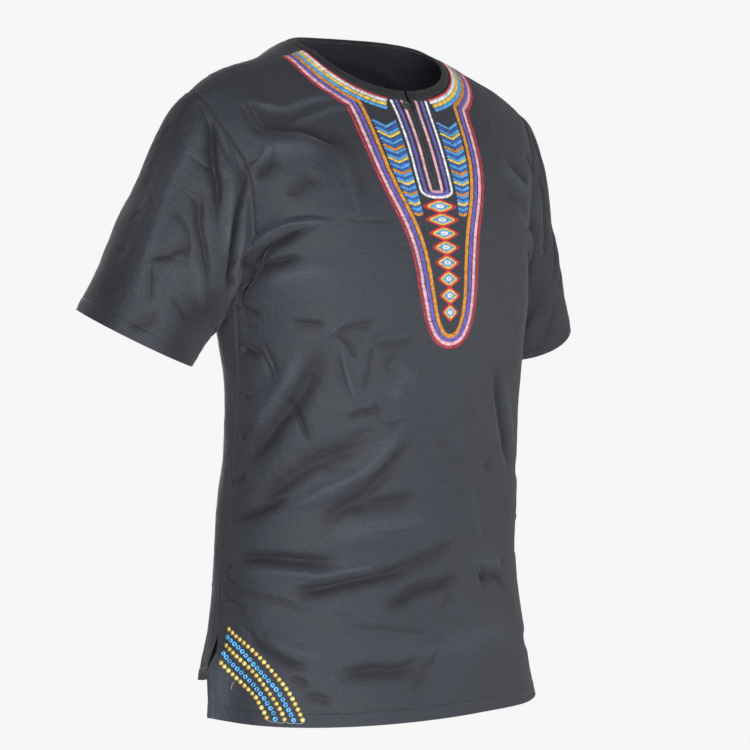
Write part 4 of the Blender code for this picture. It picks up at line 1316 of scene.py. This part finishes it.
# the beads at the corner of the hem
beads = {
    "radius": 0.0027,
    "pitch": 0.0064,
    "thread": 0.00022,
    "threadColour": (0.55, 0.60, 0.66, 1),
    "goldDark": (0.72, 0.50, 0.10),
    "goldLight": (0.95, 0.74, 0.22),
    "blue": (0.10, 0.46, 0.86),
    "blueCentre": (0.015, 0.070, 0.200),
    "flatness": {"gold": 0.62, "blue": 0.85},
    "tilt": 0.10,
    "lift": 0.0003,
    # each row, and the thread's tail, as places on the front's chart in millimetres
    "rows": [
        ("gold", [(-252, -633), (-208, -656), (-179, -679.5), (-161, -700.5), (-146, -729)]),
        ("blue", [(-252.5, -641.5), (-222, -658), (-180, -691.5), (-164, -713.5), (-155.5, -729.5)]),
        ("gold", [(-254, -650.5), (-206, -678), (-176, -709.5), (-165, -728.5)]),
        ("blue", [(-256, -659.5), (-208, -688.5), (-183, -713.5), (-175, -728.5)]),
        ("gold", [(-255, -669.5), (-208, -698.5), (-196, -710.5), (-184.5, -727)]),
    ],
    "tail": [(-232, -689), (-235, -694), (-234, -698)],
}


def makeStud():
    # a ring round a sunk centre
    bm = bmesh.new()
    profile = [(0.0, 0.42), (0.46, 0.36), (0.58, 0.52), (0.78, 0.74), (0.96, 0.52), (1.0, 0.05),
               (0.94, -0.2)]
    turned(bm, profile, steps=12, merge=1e-4)
    for face in bm.faces:
        face.material_index = 1 if face.calc_center_median().xy.length < 0.5 else 0
    return meshFrom(bm, "blueBead")


def beadFrames(kind, route):
    # matrices of one row's beads, each turned and tilted a little differently
    points, normals = onFront(densePath(smoothRoute(route)))
    centres, ahead, normal = walk(points, normals, beads["pitch"])
    rng = np.random.default_rng(len(centres))
    spin = rng.uniform(0, 6.28, len(centres))[:, None]
    tilt = unit(normal + beads["tilt"] * rng.normal(0, 1, normal.shape))
    first = unit(np.cross(ahead * np.cos(spin) + np.cross(normal, ahead) * np.sin(spin), tilt))
    radius = beads["radius"] * rng.uniform(0.94, 1.05, len(centres))[:, None]
    return frames(centres + normal * beads["lift"], first * radius, np.cross(tilt, first) * radius,
                  tilt * radius * beads["flatness"][kind])


def makeBeads():
    golden, tree = startMaterial("goldBead", roughness=0.30, specular=0.5, metallic=0.25)
    tint = addMix(tree, attributeOf(tree, "tone"), beads["goldDark"], beads["goldLight"])
    connectSurface(tree, colour=tint)
    glass = []
    for name, colour in (("blueBead", beads["blue"]), ("blueBeadCentre", beads["blueCentre"])):
        material, tree = startMaterial(name, roughness=0.16, specular=0.6, coat=0.6)
        level = addRange(tree, attributeOf(tree, "tone"), (0.0, 1.0), (0.75, 1.3))
        connectSurface(tree, colour=addMix(tree, 1.0, colour, level, "MULTIPLY"))
        glass.append(material)
    pieces = []
    shapes = (("gold", makeSphere("goldBead", across=10, down=8), [golden]), ("blue", makeStud(), glass))
    for kind, shape, materials in shapes:
        placed = [beadFrames(kind, route) for rowKind, route in beads["rows"] if rowKind == kind]
        pieces.append(scatter("beads" + kind.capitalize(), shape, np.concatenate(placed), materials))
    return pieces


def makeBeadThread():
    # the light thread that runs from the foot of each row to the next, and one short tail
    pale, tree = startMaterial("paleThread", roughness=0.5, specular=0.4, sheen=0.2)
    tree.nodes["Principled BSDF"].inputs["Base Color"].default_value = beads["threadColour"]
    twist = addNoise(tree, objectPlace(tree), 2500.0)
    connectSurface(tree, normal=addBump(tree, twist, 0.00005))
    feet = [route[-1] for _, route in beads["rows"]]
    runs = [[start, ((start[0] + end[0]) / 2, (start[1] + end[1]) / 2 - 1.2), end]
            for start, end in zip(feet, feet[1:])]
    routes = [onFront(densePath(smoothRoute(run), 1.0), 0.0006)[0] for run in runs + [beads["tail"]]]
    return addTube("beadThread", pale, beads["thread"], 1, routes)


beadThread = makeBeadThread()
beadPieces = makeBeads() + [beadThread]
print("beads made")

# the stitches in the hems and the binding
seamThread = {
    "pitch": 0.0030,
    "length": 0.0021,
    "thickness": 0.00021,
    "sunk": 0.00002,  # into the cloth's face
    "colours": ((0.020, 0.021, 0.025), (0.036, 0.037, 0.042)),
}


def makeSeamStitches():
    # lines of places and outward directions: the hems of the front and the back, and the cuffs
    routes = []
    for back in (False, True):
        across = np.linspace(-0.252, 0.252, 260)
        turn = across / form["halfChart"]
        if back:
            turn = np.copysign(2 - np.abs(turn), across)
        height = hemHeight(back, across) + cloth["hemWidth"]
        routes.append((panelPoint(back, turn, height), torsoNormal(turn, height)))
    step = 0.01
    for side in (-1, 1):
        around = np.linspace(0.0, 0.9999, 220)
        along = np.full(around.shape, 1 - cloth["hemWidth"] / form["sleeveLength"])
        points = sleevePoint(side, around, along)
        down = sleevePoint(side, around, along + step) - points
        routes.append((points, unit(np.cross(down, np.gradient(points, axis=0))) * -side))
    matrices = []
    thickness = seamThread["thickness"]
    for points, normals in routes:
        points = points + normals * (cloth["wall"] / 2 - seamThread["sunk"])
        matrices.append(runningStitches(points, normals, seamThread["pitch"], seamThread["length"],
                                        thickness, thickness))
    journey = np.linspace(0.01, 3.99, 900)
    for distance in binding["stitchLines"]:
        away = np.full(journey.shape, distance)
        lift = np.full(journey.shape, binding["halfThickness"] * binding["stitchLift"])
        outer, inner = bindingPoint(journey, away, lift), bindingPoint(journey, away, 0 * lift)
        matrices.append(runningStitches(outer, unit(outer - inner), binding["stitchPitch"],
                                        binding["stitchLength"], binding["stitchWidth"],
                                        binding["stitchHeight"]))
    material, tree = startMaterial("seamThread", roughness=0.5, specular=0.4, sheen=0.1)
    connectSurface(tree, colour=addMix(tree, attributeOf(tree, "tone"), *seamThread["colours"]))
    scatter("seamStitches", stitchShape, np.concatenate(matrices), [material])


makeSeamStitches()
neckBinding = makeBinding()
print("binding and seam stitches made")

# the button at the top of the slit and its loop; the loop's size is its inner radius
button = {
    "x": -0.0095,
    "height": -0.0485,
    "radius": 0.0054,
    "lift": 0.0024,
    "thickness": 0.0022,
    "shank": 0.0016,
    "colour": (0.045, 0.045, 0.048),
    "colourStreak": (0.150, 0.145, 0.140),
    "loop": 0.0029,
    "cord": 0.0008,
    "cordTwist": 0.0022,
    "cordLift": 0.0011,
    "cordColours": ((0.008, 0.008, 0.009), (0.022, 0.022, 0.024)),
}


def buttonFrame():
    # +Z out of the cloth at the button, +X to the wearer's left
    turn, height = -turnOf(button["x"], button["height"]), button["height"]
    normal = torsoNormal(turn, height)
    across = np.array([1.0, 0.0, 0.0])
    across = unit(across - normal * (across @ normal))
    place = smoothTorso(turn, height) + normal * 0.0006
    matrix = Matrix(np.stack([across, np.cross(normal, across), normal], axis=-1).tolist()).to_4x4()
    return Matrix.Translation(place.tolist()) @ matrix


def makeButton():
    radius, lift, shank = button["radius"], button["lift"], button["shank"]
    top = lift + button["thickness"]
    # the dished face, the rim, the underside and the shank, each as a share of the radius and a drop
    face = [(0.0, 0.0009), (0.45, 0.0009), (0.60, 0.00075), (0.70, 0.0002), (0.77, 0.0), (0.87, 0.00005),
            (0.96, 0.0004), (1.0, 0.0009), (0.97, 0.0015)]
    profile = [(radius * share, top - drop) for share, drop in face]
    profile += [(radius * 0.86, lift), (shank, lift - 0.0001), (shank, 0.0003), (0.0, 0.0003)]
    bm = bmesh.new()
    turned(bm, profile, steps=48, merge=2e-5)
    bmesh.ops.transform(bm, matrix=buttonFrame(), verts=bm.verts)
    material, tree = startMaterial("darkHorn", roughness=0.28, specular=0.5, coat=0.3)
    grain = addNoise(tree, objectPlace(tree), 260.0, detail=5.0, distortion=1.6)
    tint = addMix(tree, addRange(tree, grain, (0.45, 0.75)), button["colour"], button["colourStreak"])
    connectSurface(tree, colour=tint, normal=addBump(tree, grain, 0.00005, strength=0.3))
    addPiece("neckButton", meshFrom(bm, "neckButton"), [material], "neck_button")


def makeLoop():
    # two strands twisted round each other along the loop's line, two legs joined by a round end
    tail, loop, cord = -button["x"] + 0.004, button["loop"], button["cord"]
    places = [(tail, -loop * 0.6), (tail - 0.002, -loop * 0.95)]
    places += [(loop * math.cos(a), loop * math.sin(a)) for a in -math.pi / 2 - np.linspace(0, math.pi, 9)]
    places += [(tail - 0.002, loop * 0.95), (tail, loop * 0.6)]
    line = densePath(smoothRoute(np.array(places + places[:1]) * 1000), 0.12) / 1000
    walked, run = lengthsAlong(line), directionsAlong(line)
    turns = round(walked[-1] / button["cordTwist"])
    matrix = np.array(buttonFrame())
    strands = []
    for start in (0.0, math.pi):
        angle = walked / walked[-1] * turns * 2 * math.pi + start
        out, up = 0.44 * cord * np.cos(angle), 0.44 * cord * np.sin(angle)
        spots = np.column_stack([line[:, 0] - run[:, 1] * out, line[:, 1] + run[:, 0] * out,
                                 button["cordLift"] + up])
        strands.append((spots @ matrix[:3, :3].T + matrix[:3, 3])[:-1])
    material, tree = startMaterial("blackCord", roughness=0.7, specular=0.3, sheen=0.15)
    fibre = addNoise(tree, objectPlace(tree), 3000.0)
    connectSurface(tree, colour=addMix(tree, fibre, *button["cordColours"]),
                   normal=addBump(tree, fibre, 0.00008))
    addTube("buttonLoop", material, cord * 0.56, 3, strands, "button_loop", closed=True)


makeButton()
makeLoop()
print("button and loop made")


# the camera, the lights and the paper cove round them
studio = {
    "cameraPlace": (-1.9284, -2.2981, -0.224),
    "cameraAzimuth": 40.0,
    "aimRight": 7 / 2655,
    "aimDown": 125 / 2655,
    "lens": 127.4,
    "lightDistance": 2.3,
    "lightTarget": (0.0, 0.0, -0.36),
    # azimuth from the wearer's front towards the wearer's left, height, size and power
    "lights": {
        "lowLight": (-20.0, -1.51, 1.0, 23.0),
        "frontLight": (-20.0, -0.30, 1.0, 27.0),
        "sideLight": (-59.0, -0.76, 1.0, 20.0),
        "highLight": (-46.0, 0.43, 1.2, 17.0),
        "rightLight": (48.0, -0.30, 1.0, 15.0),
        "backLight": (152.0, -0.10, 1.5, 34.0),
        "backTopLight": (195.0, 1.10, 1.5, 19.0),
    },
    "lightColour": (0.95, 0.98, 1.0),
    "airColour": (0.9, 0.95, 1.0, 1),
    "airStrength": 0.03,
    "paper": 0.93,
    "floor": -1.45,
    "floorRadius": 4.2,
    "bend": 1.6,
    "wallTop": 6.0,
}


def addCamera():
    azimuth = math.radians(studio["cameraAzimuth"])
    forward = Vector((math.sin(azimuth), math.cos(azimuth), 0.0))
    right = Vector((math.cos(azimuth), -math.sin(azimuth), 0.0))
    aim = forward + right * studio["aimRight"] - Vector((0, 0, studio["aimDown"]))
    data = bpy.data.cameras.new("camera")
    data.lens = studio["lens"]
    data.sensor_width = 36.0
    data.clip_end = 60.0
    camera = bpy.data.objects.new("camera", data)
    camera.location = studio["cameraPlace"]
    camera.rotation_euler = aim.to_track_quat("-Z", "Y").to_euler()
    bpy.context.scene.collection.objects.link(camera)
    bpy.context.scene.camera = camera


def addSoftLight(name, azimuth, height, size, power):
    angle, distance = math.radians(azimuth), studio["lightDistance"]
    place = Vector((distance * math.sin(angle), -distance * math.cos(angle), height))
    data = bpy.data.lights.new(name, "AREA")
    data.shape = "RECTANGLE"
    data.size = data.size_y = size
    data.energy = power
    data.color = studio["lightColour"]
    light = bpy.data.objects.new(name, data)
    light.location = place
    light.rotation_euler = (Vector(studio["lightTarget"]) - place).to_track_quat("-Z", "Y").to_euler()
    light.visible_camera = False
    bpy.context.scene.collection.objects.link(light)


def addCove():
    # a round floor that curves up into the wall; the camera sees pale paper, and the cloth next to
    # no light from it
    floor, flat, bend = studio["floor"], studio["floorRadius"], studio["bend"]
    angles = np.linspace(0.15, math.pi / 2, 9)
    profile = [(0.0, floor), (flat, floor)]
    profile += [(flat + bend * math.sin(a), floor + bend - bend * math.cos(a)) for a in angles]
    profile += [(flat + bend, studio["wallTop"])]
    bm = bmesh.new()
    turned(bm, profile, steps=64, merge=1e-4)
    mesh = meshFrom(bm, "paperCove")
    cove = bpy.data.objects.new("paperCove", mesh)
    bpy.context.scene.collection.objects.link(cove)
    material = bpy.data.materials.new("palePaper")
    material.use_nodes = True
    tree = material.node_tree
    tree.nodes.clear()
    level = studio["paper"]
    grain = addNoise(tree, objectPlace(tree), 0.26)
    tone = addRange(tree, grain, (0.0, 1.0), (level - 0.01, level + 0.01))
    seen = addNode(tree, "ShaderNodeEmission", {"Color": (1, 1, 1, 1), "Strength": tone})
    unseen = addNode(tree, "ShaderNodeBsdfDiffuse", {"Color": (0.02, 0.02, 0.02, 1)})
    toCamera = addNode(tree, "ShaderNodeLightPath").outputs["Is Camera Ray"]
    mixed = addNode(tree, "ShaderNodeMixShader", {0: toCamera, 1: unseen.outputs[0], 2: seen.outputs[0]})
    addNode(tree, "ShaderNodeOutputMaterial", {"Surface": mixed.outputs[0]})
    mesh.materials.append(material)
    cove.visible_shadow = False


addCamera()
for name, values in studio["lights"].items():
    addSoftLight(name, *values)
addCove()
world = bpy.data.worlds.new("studioAir")
world.use_nodes = True
world.node_tree.nodes["Background"].inputs["Color"].default_value = studio["airColour"]
world.node_tree.nodes["Background"].inputs["Strength"].default_value = studio["airStrength"]
bpy.context.scene.world = world
bpy.context.scene.view_settings.view_transform = "Standard"
print("camera, lights and surroundings made")
